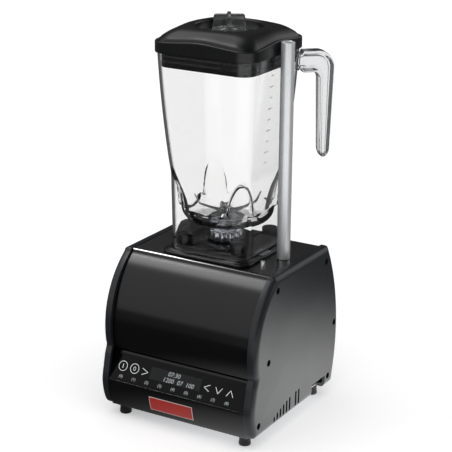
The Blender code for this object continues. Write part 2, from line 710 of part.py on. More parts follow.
# ---- deck fittings ------------------------------------------------------------------------------------
def centring_pad():
    """Rubber seat for the jug: a flange, and a raised block that fills the jug's foot."""
    low = DECK_HEIGHT + GAP
    block_half = JUG_FOOT_HALF - JUG_WALL - SLIDE_GAP
    pad = loft("centring_pad", [square_ring(PAD_HALF, PAD_CORNER, low),
                                square_ring(PAD_HALF, PAD_CORNER, low + PAD_FLANGE * 0.6),
                                square_ring(PAD_HALF - 0.0012, PAD_CORNER, PAD_TOP)], RUBBER)
    block = loft("pad_block", [square_ring(block_half, JUG_CORNER - JUG_WALL, low + 0.001),
                               square_ring(block_half - 0.001, JUG_CORNER - JUG_WALL,
                                           low + PAD_BLOCK_HEIGHT)])
    corners = [(x * PAD_POST_PLACE, y * PAD_POST_PLACE) for x in (-1, 1) for y in (-1, 1)]
    posts = cylinders("pad_posts", corners, PAD_POST_RADIUS, low + 0.002, PAD_POST_TOP)
    join(pad, block, posts)
    cut(pad, cylinders("pad_hole", [(0, 0)], PAD_HOLE, low - 0.002, low + 0.02, segments=32))


def sensor_post():
    """Aluminium tube closed at the top, with a spigot through the deck and a nut under it."""
    low = DECK_HEIGHT + GAP
    bore = POST_SPIGOT - 0.0015
    inner = POST_RADIUS - POST_WALL
    foot = DECK_HEIGHT - 0.016
    profile = [(0, POST_TOP), (POST_RADIUS - 0.0006, POST_TOP), (POST_RADIUS, POST_TOP - 0.0006),
               (POST_RADIUS, low), (POST_SPIGOT, low), (POST_SPIGOT, foot), (bore, foot),
               (bore, low + 0.003), (inner, low + 0.005), (inner, POST_TOP - 0.002),
               (0, POST_TOP - 0.002)]
    post = turned("sensor_post", profile, ALUMINIUM, segments=32)
    post.location = (POST_X, 0, 0)
    nut_centre = Matrix.Translation((POST_X, 0, DECK_UNDER - 0.003))
    flat("post_nut", [circle(0.0095, 6), circle(POST_SPIGOT + GAP, 20)], 0.005, ZINC, nut_centre)


def interlock_pin():
    """A sprung plunger through the deck, with its return spring on the bracket's guide."""
    x, y = PIN_PLACE
    top = DECK_HEIGHT + PIN_HEIGHT
    collar = DECK_UNDER - GAP
    foot = collar - PIN_SPRING - 0.0035
    profile = [(0, top), (PIN_RADIUS - 0.0008, top), (PIN_RADIUS, top - 0.0008), (PIN_RADIUS, collar),
               (PIN_COLLAR, collar), (PIN_COLLAR, collar - 0.002), (PIN_STEM, collar - 0.002),
               (PIN_STEM, foot), (0, foot)]
    pin = turned("interlock_pin", profile, STEEL, segments=16)
    pin.location = (x, y, 0)
    spring_coil("pin_spring", (x, y), PIN_STEM + 0.0012, collar - PIN_SPRING, collar - 0.002 - GAP)


def pin_bracket():
    """An L welded under the deck that guides the plunger's stem and carries its spring."""
    x, y = PIN_PLACE
    top = DECK_UNDER + SHEET / 2
    floor = DECK_UNDER - 2 * GAP - PIN_SPRING - SHEET / 2
    web_y = y + 0.010
    guide = box("pin_guide", (0.014, 0.0200, SHEET), (x, (y + web_y) / 2 - 0.0045, floor))
    web = box("pin_guide_web", (0.014, SHEET, top - floor), (x, web_y, (top + floor) / 2))
    join(web, guide)
    return cut(web, cylinders("pin_guide_hole", [(x, y)], PIN_STEM + SLIDE_GAP, floor - 0.005,
                              floor + 0.005))


def spring_coil(name, place, radius, low, high):
    """A helical wire as a square-cornered curve with a round section."""
    wire = 0.0004
    turns = 5
    steps = turns * 10
    curve = bpy.data.curves.new(name, "CURVE")
    curve.dimensions = "3D"
    curve.bevel_depth = wire
    curve.bevel_resolution = 1
    curve.use_fill_caps = True
    spline = curve.splines.new("POLY")
    spline.points.add(steps)
    for i, point in enumerate(spline.points):
        angle = 2 * math.pi * turns * i / steps
        height = low + wire + (high - low - 2 * wire) * i / steps
        point.co = (radius * math.cos(angle), radius * math.sin(angle), height, 1)
    coil = bpy.data.objects.new(name, curve)
    curve.materials.append(STEEL)
    coil.parent = ROOT
    coil.location = (*place, 0)
    PARTS.objects.link(coil)


# ---- motor --------------------------------------------------------------------------------------------
def ring_profile(outer, inner, low, high):
    return [(inner, high), (outer, high), (outer, low), (inner, low)]


def motor():
    """A brushed motor hung from the deck: stator and brackets fixed, shaft and what is on it turning."""
    top = STATOR_BASE + STATOR_HEIGHT
    bore = SHAFT_RADIUS + GAP
    middle = Matrix.Translation((0, 0, STATOR_BASE + STATOR_HEIGHT / 2))
    outline = [(x, max(-STATOR_RADIUS * 0.9, min(STATOR_RADIUS * 0.9, y)))
               for x, y in circle(STATOR_RADIUS, 36)]
    flat("motor_stator", [outline, circle(STATOR_BORE, 32)], STATOR_HEIGHT, LAMINATION, middle)
    winding = [circle(STATOR_BORE - GAP, 32), circle(ARMATURE_RADIUS + 0.0012, 32)]
    flat("field_winding", winding, STATOR_HEIGHT + 0.014, COPPER, middle)
    armature = toothed(ARMATURE_RADIUS, ARMATURE_RADIUS * 0.80, 12, 0.62)
    flat("armature", [armature, circle(bore, 16)], STATOR_HEIGHT - 0.002, LAMINATION, middle)
    commutator_high = STATOR_BASE - 0.010
    commutator_low = commutator_high - 0.018
    turned("commutator", ring_profile(COMMUTATOR_RADIUS, bore, commutator_low, commutator_high), COPPER,
           segments=24, closed=True)
    lower = motor_brackets(top)
    brush_z = (commutator_low + commutator_high) / 2
    tower_low = STATOR_BASE - 0.038
    tower_high = brush_z + 0.0075
    for name, side in (("left", -1), ("right", 1)):
        start = side * (COMMUTATOR_RADIUS + SLIDE_GAP)
        box("brush_" + name, (0.018, 0.007, 0.010), (start + side * 0.009, 0, brush_z), CARBON)
        join(lower, box("brush_tower_" + name, (0.020, 0.011, tower_high - tower_low),
                        (start + side * 0.013, 0, (tower_high + tower_low) / 2)))
        cut(lower, box("brush_slot_" + name, (0.030, 0.007 + 2 * GAP, 0.010 + 2 * GAP),
                       (start + side * 0.013, 0, brush_z)))
    motor_shaft()
    cooling_fan()


def motor_brackets(stator_top):
    """Die-cast end brackets: bearing seats, pillars to the stator, and pillars up to the deck."""
    seat = BEARING_RADIUS + GAP
    pillars = [(r * math.cos(a), r * math.sin(a)) for r in [STATOR_RADIUS - 0.0055]
               for a in [math.radians(k) for k in (25, 155, 205, 335)]]
    upper_low = stator_top + 0.016
    upper_high = upper_low + BEARING_HEIGHT + 0.001
    profile = [(seat, upper_high), (STATOR_RADIUS, upper_high), (STATOR_RADIUS, upper_low + 0.002),
               (0.020, upper_low + 0.002), (0.016, upper_low - 0.001), (0.0075, upper_low - 0.001),
               (0.0075, upper_low + 0.0005), (seat, upper_low + 0.0005)]
    upper = turned("upper_bracket", profile, CAST, segments=24, closed=True)
    join(upper, cylinders("upper_pillars", pillars, 0.0045, stator_top + GAP, DECK_UNDER - GAP,
                          segments=8))
    bearing("upper_bearing", upper_low + 0.0005 + GAP)
    lower_high = STATOR_BASE - 0.034
    lower_low = lower_high - BEARING_HEIGHT - 0.001
    profile = [(seat, lower_high - 0.0005), (0.016, lower_high - 0.0005), (0.020, lower_low + BRACKET),
               (STATOR_RADIUS, lower_low + BRACKET), (STATOR_RADIUS, lower_low + 0.001),
               (0.016, lower_low - 0.0012), (0.0075, lower_low - 0.0012), (0.0075, lower_low),
               (seat, lower_low)]
    lower = turned("lower_bracket", profile, CAST, segments=24, closed=True)
    join(lower, cylinders("lower_pillars", pillars, 0.0045, lower_low + 0.003, STATOR_BASE - GAP,
                          segments=8))
    bearing("lower_bearing", lower_low + GAP)
    return lower


def bearing(name, low):
    turned(name, ring_profile(BEARING_RADIUS, SHAFT_RADIUS + GAP, low, low + BEARING_HEIGHT), STEEL,
           segments=24, closed=True)


def cooling_fan():
    """A paddle fan under the motor: a hub with radial blades."""
    middle = Matrix.Translation((0, 0, FAN_LOW + FAN_HEIGHT / 2))
    blades = toothed(FAN_RADIUS, 0.012, FAN_BLADES, 0.14)
    flat("cooling_fan", [blades, circle(SHAFT_RADIUS + GAP, 16)], FAN_HEIGHT, NYLON, middle)


def motor_shaft():
    """Shaft from below the fan up through the deck, with the drive socket on its end."""
    low = FAN_LOW - 0.004
    profile = [(0, SHAFT_TOP - 0.004), (SHAFT_RADIUS, SHAFT_TOP - 0.004), (SHAFT_RADIUS, low), (0, low)]
    turned("motor_shaft", profile, STEEL, segments=16)
    drive_socket()


def drive_socket():
    """Splined cup on the motor shaft, standing out of the deck inside the pad."""
    low = DECK_HEIGHT - 0.006
    tight = SHAFT_RADIUS + GAP
    profile = [(0, SOCKET_TOP), (SOCKET_RADIUS - 0.001, SOCKET_TOP), (SOCKET_RADIUS, SOCKET_TOP - 0.001),
               (SOCKET_RADIUS, DECK_HEIGHT + 0.001), (0.0095, DECK_HEIGHT + 0.001), (0.0095, low),
               (0, low)]
    socket = turned("drive_socket", profile, NYLON, segments=24)
    floor = SHAFT_TOP - 0.002
    spline = toothed(COUPLING_RADIUS + SLIDE_GAP, COUPLING_RADIUS * 0.82 + SLIDE_GAP, COUPLING_TEETH, 0.55)
    place = Matrix.Translation((0, 0, floor + 0.01))
    cut(socket, flat("socket_spline", [spline], 0.02, None, place),
        cylinders("socket_bore", [(0, 0)], tight, low - 0.002, SHAFT_TOP - 0.004 + GAP))


# ---- jug ----------------------------------------------------------------------------------------------
def jug_half(z):
    """Half width of the jug at a height: a straight skirt, then a slightly bulging flare."""
    if z <= JUG_WAIST:
        t = (z - JUG_FOOT) / (JUG_WAIST - JUG_FOOT)
        return JUG_FOOT_HALF + (JUG_WAIST_HALF - JUG_FOOT_HALF) * t
    t = (z - JUG_WAIST) / (JUG_TOP - JUG_WAIST)
    return JUG_WAIST_HALF + (JUG_MOUTH_HALF - JUG_WAIST_HALF) * (1.5 * t - 0.5 * t * t)


def bowl_reach(z, grow):
    """The bowl's inner face at a height, or that face moved out by a wall."""
    climb = (z - RIB_START) / (JUG_WAIST + 0.005 - RIB_START)
    crest = RIB_FOOT + (RIB_TOP - RIB_FOOT) * max(0.0, climb) ** 1.6
    rise = min(max(z - BOWL_FLOOR, 0.0), BOWL_FILLET)
    basin = BOWL_FLOOR_RADIUS + math.sqrt(BOWL_FILLET ** 2 - (BOWL_FILLET - rise) ** 2)
    half = jug_half(z) - JUG_WALL
    basin_open = basin if rise < BOWL_FILLET else 1.0

    def reach(angle):
        wall = square_reach(half, JUG_CORNER - JUG_WALL, angle)
        inner = min(wall, basin_open)
        from_corner = (angle + math.pi / 4) % (math.pi / 2) - math.pi / 4
        slant = (angle % (math.pi / 2)) - math.pi / 4
        centre = crest + RIB_RADIUS
        aside = centre * math.sin(slant)
        if abs(from_corner) > 1e-9 and abs(aside) < RIB_RADIUS * 0.98:
            rib = centre * math.cos(slant) - math.sqrt(RIB_RADIUS ** 2 - aside ** 2)
            inner = min(inner, rib)
        return inner + grow

    return reach


def jug():
    """Clear jug: a square shell, a ribbed bowl inside its lower half and a skirt that is open below."""
    levels = [JUG_FOOT, RIB_START, JUG_WAIST] + [JUG_WAIST + (JUG_TOP - JUG_WAIST) * i / 5 for i in range(1, 6)]
    shell = loft("jug", [square_ring(jug_half(z), JUG_CORNER, z) for z in levels], CLEAR)
    boss_reach = HANDLE_ROOT - 0.070
    middle = (0.070 + boss_reach / 2) / math.sqrt(2)
    join(shell, box("handle_boss", (boss_reach, BOSS_WIDTH, HANDLE_BEAM - 2 * BOSS_MARGIN),
                    (middle, middle, HANDLE_TOP - HANDLE_BEAM / 2), turn=(0, 0, math.pi / 4)))
    low_levels = [BOWL_FLOOR + step for step in (0, 0.002, 0.005, 0.009, 0.014, 0.024, 0.034, 0.044, 0.052)]
    high_levels = [JUG_WAIST + 0.006] + levels[3:] + [JUG_TOP + 0.002]
    inside = loft("jug_inside", [ring(bowl_reach(z, 0), z) for z in low_levels + high_levels])
    cut(shell, inside)
    skirt_levels = (JUG_FOOT - 0.002, JUG_WAIST + 0.002)
    under = loft("jug_under", [square_ring(jug_half(max(z, JUG_FOOT)) - JUG_WALL,
                                           JUG_CORNER - JUG_WALL - 0.0003, z) for z in skirt_levels])
    bowl_levels = [BOWL_FLOOR] + low_levels[2:] + [JUG_WAIST + 0.010]
    foot = BOWL_FLOOR - JUG_WALL
    bowl_rings = [ring(bowl_reach(BOWL_FLOOR, JUG_WALL * 0.4), foot)]
    bowl_rings += [ring(bowl_reach(z, JUG_WALL), z) for z in bowl_levels]
    cut(under, loft("jug_bowl", bowl_rings))
    cut(shell, under)
    cut(shell, cylinders("jug_floor_hole", [(0, 0)], HOUSING_RADIUS + GAP, foot - 0.01,
                         BOWL_FLOOR + 0.01, segments=24))


def jug_handle():
    """Open handle on the jug's rear corner: a beam out from the jug, then a tapering grip."""
    top, beam_low = HANDLE_TOP, HANDLE_TOP - HANDLE_BEAM
    bend = 0.020
    arc = [(HANDLE_REACH - bend + bend * math.sin(a), top - bend + bend * math.cos(a))
           for a in [math.radians(15 * k) for k in range(7)]]
    inner = HANDLE_REACH - HANDLE_GRIP
    hollow = 0.008
    inner_arc = [(inner - hollow + hollow * math.sin(a), beam_low - hollow + hollow * math.cos(a))
                 for a in [math.radians(22.5 * k) for k in range(4, -1, -1)]]
    end_outer = (HANDLE_REACH - 0.004, HANDLE_END)
    end_inner = (HANDLE_REACH - 0.004 - HANDLE_TIP, HANDLE_END)
    root = HANDLE_ROOT + 0.0005
    outline = [(root, top)] + arc + [end_outer, end_inner] + inner_arc + [(root, beam_low)]
    diagonal = Matrix.Rotation(math.pi / 4, 4, "Z") @ Matrix.Rotation(math.pi / 2, 4, "X")
    flat("jug_handle", [outline], HANDLE_WIDTH, CLEAR, diagonal, edge=HANDLE_EDGE)


# ---- lid ----------------------------------------------------------------------------------------------
def lid():
    """Soft lid: a skirt over the jug's rim, a plug inside its mouth, and a domed top with a round well."""
    profile = ((LID_HALF, LID_CORNER, LID_SKIRT_FOOT), (LID_HALF, LID_CORNER, LID_STEP),
               (LID_HALF - 0.0018, LID_CORNER, LID_STEP + 0.0026),
               (LID_HALF - 0.0130, 0.030, LID_STEP + 0.0088),
               (WELL_RADIUS + 0.004, WELL_RADIUS + 0.0039, LID_TOP - 0.0008),
               (WELL_RADIUS + 0.0015, WELL_RADIUS + 0.0014, LID_TOP))
    cap = loft("lid", [square_ring(half, corner, z) for half, corner, z in profile], RUBBER)
    plug_half = jug_half(LID_PLUG_FOOT) - JUG_WALL - SLIDE_GAP
    corner = JUG_CORNER - JUG_WALL
    plug = loft("lid_plug_block", [square_ring(plug_half, corner, LID_PLUG_FOOT),
                                   square_ring(plug_half, corner, LID_STEP - 0.0015)])
    seat = JUG_TOP + GAP
    rim_half = JUG_MOUTH_HALF + SLIDE_GAP
    rim_space = loft("lid_rim_space", [square_ring(rim_half, JUG_CORNER, LID_SKIRT_FOOT - 0.002),
                                       square_ring(rim_half, JUG_CORNER, seat)])
    hollow_half = plug_half - LID_WALL
    hollow = loft("lid_hollow", [square_ring(hollow_half, corner - 0.003, LID_PLUG_FOOT - 0.002),
                                 square_ring(hollow_half, corner - 0.003, WELL_FLOOR - LID_WALL)])
    join(cut(cap, rim_space), plug)
    well = [(0, LID_TOP + 0.002), (WELL_RADIUS, LID_TOP + 0.002), (WELL_RADIUS, LID_TOP - 0.001),
            (WELL_RADIUS - 0.003, WELL_FLOOR), (0, WELL_FLOOR)]
    cut(cap, hollow, turned("lid_well", well, None, segments=32),
        cylinders("lid_hole", [(0, 0)], CUP_HOLE, WELL_FLOOR - 0.01, WELL_FLOOR + 0.01, segments=32))


def lid_plug():
    """Clear stopper: a flanged cup with a four-winged grip."""
    low = WELL_FLOOR + GAP
    flange_top = low + 0.003
    inner = PLUG_RADIUS - 0.0025
    profile = [(0, flange_top), (PLUG_FLANGE - 0.001, flange_top), (PLUG_FLANGE, flange_top - 0.001),
               (PLUG_FLANGE, low), (PLUG_RADIUS, low), (PLUG_RADIUS, PLUG_FOOT), (inner, PLUG_FOOT),
               (inner, flange_top - 0.003), (0, flange_top - 0.003)]
    plug = turned("lid_plug", profile, CLEAR, segments=32)
    height = PLUG_TOP - flange_top + 0.001
    for name, turn in (("wing_across", 0.0), ("wing_along", math.pi / 2)):
        wing = box(name, (2 * PLUG_WING, 0.0060, height), (0, 0, flange_top - 0.001 + height / 2),
                   turn=(0, 0, turn + math.radians(32)))
        join(plug, wing)


# ---- blade set ----------------------------------------------------------------------------------------
def blade(name, path, turn):
    """A bar of blade steel bent in its own plane, with a hole for the shaft."""
    place = Matrix.Rotation(turn, 4, "Z") @ Matrix.Rotation(math.pi / 2, 4, "X")
    piece = flat(name, [strip(path, BLADE_THICKNESS)], BLADE_WIDTH, STEEL, place)
    cut(piece, cylinders(name + "_hole", [(0, 0)], BLADE_SHAFT + GAP, BLADE_LOW - 0.01, BLADE_LOW + 0.02))


def blades():
    """Two crossed blades: the upper one's tips stand up, the lower one's lie near the floor."""
    base = BLADE_LOW + BLADE_THICKNESS + 0.0005
    rise = [(-BLADE_RADIUS, base + 0.0215), (-0.0335, base + 0.0090), (-0.009, base),
            (0.009, base), (0.0335, base + 0.0090), (BLADE_RADIUS, base + 0.0215)]
    blade("blade_upper", rise, BLADE_TURN)
    lower = [(-0.0370, BLADE_LOW + 0.0010), (-0.0240, BLADE_LOW - 0.0022), (-0.0115, BLADE_LOW),
             (0.0115, BLADE_LOW), (0.0240, BLADE_LOW - 0.0022), (0.0370, BLADE_LOW + 0.0010)]
    blade("blade_lower", lower, BLADE_TURN + math.pi / 2)


def blade_drive():
    """Shaft, nut, bearing, seal and the splined coupling that drops into the motor's socket."""
    nut_low = BLADE_LOW + 2 * BLADE_THICKNESS + 0.0009
    nut_high = nut_low + 0.0050
    foot = SHAFT_TOP
    profile = [(0, nut_high + 0.001), (BLADE_SHAFT, nut_high + 0.001), (BLADE_SHAFT, foot), (0, foot)]
    turned("blade_shaft", profile, STEEL, segments=16)
    middle = Matrix.Translation((0, 0, (nut_low + nut_high) / 2))
    flat("blade_nut", [circle(0.0078, 6), circle(BLADE_SHAFT + GAP, 16)], nut_high - nut_low, STEEL, middle)
    coupling_high = NUT_FOOT + 0.0040
    outline = toothed(COUPLING_RADIUS, COUPLING_RADIUS * 0.82, COUPLING_TEETH, 0.55)
    middle = Matrix.Translation((0, 0, (foot + coupling_high) / 2))
    flat("driven_coupling", [outline, circle(BLADE_SHAFT + GAP, 16)], coupling_high - foot, ZINC, middle)


def bearing_housing():
    """Threaded housing through the bowl's floor, held by the fluted nut below."""
    under = BOWL_FLOOR - JUG_WALL
    low = NUT_FOOT + 0.0060
    bore = BLADE_SHAFT + GAP
    seat = 0.0095
    flange_low = BOWL_FLOOR + GAP
    profile = [(0.0060, HOUSING_TOP), (0.0095, HOUSING_TOP), (0.0110, flange_low + 0.0030),
               (0.0190, flange_low + 0.0022), (0.0200, flange_low + 0.0006), (0.0200, flange_low),
               (HOUSING_RADIUS, flange_low), (HOUSING_RADIUS, low), (seat + GAP, low),
               (seat + GAP, under - 0.0040), (bore + SLIDE_GAP, under - 0.0030),
               (bore + SLIDE_GAP, HOUSING_TOP - 0.0040), (0.0060, HOUSING_TOP - 0.0040)]
    turned("bearing_housing", profile, STEEL, segments=24, closed=True)
    seal_low, seal_high = HOUSING_TOP - 0.0037, HOUSING_TOP - 0.0002
    turned("shaft_seal", ring_profile(0.0060 - GAP, bore, seal_low, seal_high), RUBBER, segments=20,
           closed=True)
    bearing_high = under - 0.0045
    turned("blade_bearing", ring_profile(seat, bore, bearing_high - 0.0080, bearing_high), STEEL,
           segments=20, closed=True)
    collar_high = under - GAP
    thread = HOUSING_RADIUS + GAP
    nut = flat("retaining_nut", [toothed(NUT_RADIUS, NUT_RADIUS - 0.0018, 12, 0.5), circle(thread, 24)],
               NUT_HEIGHT, CHROME, Matrix.Translation((0, 0, NUT_FOOT + NUT_HEIGHT / 2)))
    collar = turned("nut_collar", ring_profile(0.0175, thread, NUT_FOOT + NUT_HEIGHT - 0.001, collar_high),
                    None, segments=24, closed=True)
    join(nut, collar)


def build_all():
    housing_wrap()
    lower_front()
    rear_panel()
    cord_gland()
    base_plate()
    for name, side in (("left", -1), ("right", 1)):
        side_cover("side_cover_" + name, side)
        side_screws(name, side)
        end_plate("end_plate_" + name, side)
    feet()
    touch_panel()
    badge_plate()
    centring_pad()
    sensor_post()
    interlock_pin()
    motor()
    jug()
    jug_handle()
    lid()
    lid_plug()
    blades()
    blade_drive()
    bearing_housing()


build_all()
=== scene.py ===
# Bar blender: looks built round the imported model. Lengths are metres, +Z up, the front faces -Y.
import math

import bmesh
import bpy
import numpy as np
from mathutils import Matrix, Vector


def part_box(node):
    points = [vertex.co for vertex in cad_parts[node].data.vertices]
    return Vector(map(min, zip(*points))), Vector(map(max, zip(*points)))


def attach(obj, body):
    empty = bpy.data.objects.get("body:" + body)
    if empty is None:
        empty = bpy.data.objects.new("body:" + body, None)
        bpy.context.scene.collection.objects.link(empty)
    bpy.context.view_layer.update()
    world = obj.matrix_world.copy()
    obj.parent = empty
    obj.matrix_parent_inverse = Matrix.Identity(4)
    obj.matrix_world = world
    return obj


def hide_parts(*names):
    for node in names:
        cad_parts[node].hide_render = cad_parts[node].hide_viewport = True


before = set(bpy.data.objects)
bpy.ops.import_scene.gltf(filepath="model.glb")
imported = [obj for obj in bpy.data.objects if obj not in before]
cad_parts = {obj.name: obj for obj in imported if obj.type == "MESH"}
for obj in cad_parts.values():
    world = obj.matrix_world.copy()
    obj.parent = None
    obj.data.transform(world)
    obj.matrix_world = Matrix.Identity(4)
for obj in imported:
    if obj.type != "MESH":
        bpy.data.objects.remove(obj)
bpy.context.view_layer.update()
mm = 0.001


def boxOf(node):
    # a node's lowest and highest corners
    low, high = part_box(node)
    return np.array(low), np.array(high)


jugLow, jugHigh = boxOf("jug")
shaftLow, shaftHigh = boxOf("blade_shaft")
axisY = float(shaftLow[1] + shaftHigh[1]) / 2          # the jug's axis; everything is shaped about it
deckTop = float(boxOf("housing_wrap")[1][2])
print("frame loaded, axis at y", round(axisY, 4))


# small tools: colours, nodes, paths and meshes

def srgb(code):
    # hex colour to linear light
    channels = np.array([int(code[i:i + 2], 16) / 255 for i in (1, 3, 5)])
    linear = np.where(channels <= 0.04045, channels / 12.92, ((channels + 0.055) / 1.055) ** 2.4)
    return (*(float(v) for v in linear), 1.0)


def addNode(tree, kind, settings=None, links=None):
    # settings name attributes or input sockets, links name an input and the output socket that feeds it
    node = tree.nodes.new(kind)
    for key, value in (settings or {}).items():
        if isinstance(key, str) and hasattr(node, key):
            setattr(node, key, value)
        else:
            node.inputs[key].default_value = value
    for key, output in (links or {}).items():
        tree.links.new(output, node.inputs[key])
    return node


def startMaterial(name, settings):
    # a new material with constants set on its main shader
    material = bpy.data.materials.new(name)
    material.use_nodes = True
    tree = material.node_tree
    shader = tree.nodes["Principled BSDF"]
    for key, value in settings.items():
        shader.inputs[key].default_value = value
    return material, tree, shader


def filletPath(points, radius, steps=5, closed=False):
    # each corner becomes a quadratic curve between two points set back along its sides:
    # (1-s)^2 A + 2s(1-s) P + s^2 B
    p = np.asarray(points, float)
    r = np.broadcast_to(np.asarray(radius, float), (len(p),))
    before, after = np.roll(p, 1, 0) - p, np.roll(p, -1, 0) - p
    lengthBefore = np.linalg.norm(before, axis=1)
    lengthAfter = np.linalg.norm(after, axis=1)
    ub = before / np.maximum(lengthBefore, 1e-9)[:, None]
    ua = after / np.maximum(lengthAfter, 1e-9)[:, None]
    half = np.arccos(np.clip((ub * ua).sum(1), -1, 1)) / 2
    back = np.minimum(r / np.maximum(np.tan(half), 1e-3), 0.48 * np.minimum(lengthBefore, lengthAfter))
    s = np.linspace(0, 1, steps)[None, :, None]
    a = (p + ub * back[:, None])[:, None]
    b = (p + ua * back[:, None])[:, None]
    curve = (1 - s) ** 2 * a + 2 * s * (1 - s) * p[:, None] + s ** 2 * b
    if not closed:
        curve[0], curve[-1] = p[0], p[-1]
    flat = curve.reshape(-1, p.shape[1])
    keep = np.r_[True, np.linalg.norm(np.diff(flat, axis=0), axis=1) > 1e-7]
    return flat[keep]


def gridFaces(rows, columns, closeRows=False, closeColumns=True):
    # quads of a grid: point i, j with its neighbours i + 1 and j + 1, wrapped where it closes
    i, j = np.meshgrid(np.arange(rows - (not closeRows)), np.arange(columns - (not closeColumns)),
                       indexing="ij")
    i2, j2 = (i + 1) % rows, (j + 1) % columns
    return np.stack([i * columns + j, i * columns + j2, i2 * columns + j2, i2 * columns + j],
                    axis=-1).reshape(-1, 4)


def skin(grid, closeRows=False, closeColumns=True, capStart=False, capEnd=False):
    # a grid of points as quads, each open end closed by a fan to its middle
    rows, columns = grid.shape[:2]
    points = grid.reshape(-1, 3)
    faces = gridFaces(rows, columns, closeRows, closeColumns).tolist()
    for wanted, row, order in ((capStart, 0, 1), (capEnd, rows - 1, -1)):
        if wanted:
            middle = len(points)
            points = np.vstack([points, grid[row].mean(0)])
            ring = row * columns + np.arange(columns)
            fan = np.stack([np.full(columns, middle), np.roll(ring, -order), ring], axis=-1)
            faces += fan.tolist()
    return points, faces


def joined(parts):
    # several point and face sets as one
    points, faces, start = [], [], 0
    for somePoints, someFaces in parts:
        points.append(somePoints)
        faces += [[v + start for v in face] for face in someFaces]
        start += len(somePoints)
    return np.vstack(points), faces


def makeMesh(name, points, faces, sharp=35):
    # merged, turned outwards and smooth but for edges above the sharp angle
    mesh = bpy.data.meshes.new(name)
    mesh.from_pydata(np.asarray(points, float).tolist(), [], faces)
    bm = bmesh.new()
    bm.from_mesh(mesh)
    bmesh.ops.remove_doubles(bm, verts=bm.verts, dist=2e-6)
    bmesh.ops.dissolve_degenerate(bm, edges=bm.edges, dist=1e-7)
    bmesh.ops.recalc_face_normals(bm, faces=bm.faces)
    bm.to_mesh(mesh)
    bm.free()
    mesh.shade_smooth()
    mesh.set_sharp_from_angle(angle=math.radians(sharp))
    return mesh


def addPiece(name, shape, material, body, replaced=(), sharp=35, aboutAxis=True):
    # a finished piece: its shape, its finish, the body it rides on and the nodes it stands for
    points, faces = shape
    points = np.asarray(points, float) + np.array([0, axisY if aboutAxis else 0.0, 0])
    piece = bpy.data.objects.new(name, makeMesh(name, points, faces, sharp))
    piece.data.materials.append(material)
    bpy.context.scene.collection.objects.link(piece)
    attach(piece, body)
    if replaced:
        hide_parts(*replaced)
    return piece


def carve(piece, shape, aboutAxis=True, sharp=35):
    # take a solid away from a piece and keep the result as plain mesh
    points, faces = shape
    points = np.asarray(points, float) + np.array([0, axisY if aboutAxis else 0.0, 0])
    tool = bpy.data.objects.new("tool", makeMesh("tool", points, faces))
    bpy.context.scene.collection.objects.link(tool)
    step = piece.modifiers.new("cut", "BOOLEAN")
    step.operation = "DIFFERENCE"
    step.solver = "EXACT"
    step.object = tool
    bpy.context.view_layer.update()
    result = bpy.data.meshes.new_from_object(piece.evaluated_get(bpy.context.evaluated_depsgraph_get()))
    piece.modifiers.clear()
    piece.data = result
    bpy.data.objects.remove(tool, do_unlink=True)
    result.shade_smooth()
    result.set_sharp_from_angle(angle=math.radians(sharp))


def turn(profile, steps=96, closed=True):
    # a profile of radius and height carried round Z
    angle = np.linspace(0, 2 * math.pi, steps, endpoint=False)
    profile = np.asarray(profile, float)
    radius, height = profile[:, 0, None], profile[:, 1, None]
    grid = np.stack([radius * np.cos(angle), radius * np.sin(angle), height + 0 * angle], axis=-1)
    return skin(grid, closeRows=closed)


def moved(shape, offset):
    # the same shape, shifted
    return shape[0] + np.asarray(offset, float), shape[1]


def block(size, centre, rounding=0.0):
    # a rounded box: a ring stack drawn in at both ends by the same quadratic rounding
    x, y, z = np.asarray(size, float) / 2
    r = max(rounding, 1e-6)
    corner = filletPath([(-x, -y), (x, -y), (x, y), (-x, y)], r, 4, closed=True)
    t = np.linspace(0, math.pi / 2, 4)
    inset = np.r_[r * (1 - np.sin(t)), r * (1 - np.sin(t[::-1]))]
    height = np.r_[-z + r * (1 - np.cos(t)), z - r * (1 - np.cos(t[::-1]))]
    scale = 1 - inset[:, None, None] / np.array([x, y])
    flat = corner[None] * scale
    grid = np.concatenate([flat, np.broadcast_to(height[:, None, None], flat.shape[:2] + (1,))], axis=-1)
    return moved(skin(grid, capStart=True, capEnd=True), centre)


def squareReach(half, corner, angle):
    # distance from the centre to a rounded square's edge: half / cos on its sides,
    # f(a + b) + sqrt(c^2 - f^2 (a - b)^2) round its corners
    a = np.maximum(abs(np.cos(angle)), abs(np.sin(angle)))
    b = np.minimum(abs(np.cos(angle)), abs(np.sin(angle)))
    side = half - corner
    arc = side * (a + b) + np.sqrt(np.maximum(corner ** 2 - (side * (a - b)) ** 2, 0))
    return np.where(half * b <= side * a, half / a, arc)


def ringGrid(reach, height, angle):
    # x = r cos a, y = r sin a, z = height, as whole arrays
    reach, height, angle = np.broadcast_arrays(reach, height, angle)
    return np.stack([reach * np.cos(angle), reach * np.sin(angle), height], axis=-1)


def softMin(a, b, width):
    # the lesser of two surfaces with the crease between them rounded
    blend = np.clip(0.5 + 0.5 * (b - a) / width, 0, 1)
    return b * (1 - blend) + a * blend - width * blend * (1 - blend)


def smoothStep(low, high, x):
    # 0 below low, 1 above high and t^2 (3 - 2t) between
    t = np.clip((x - low) / (high - low), 0, 1)
    return t * t * (3 - 2 * t)


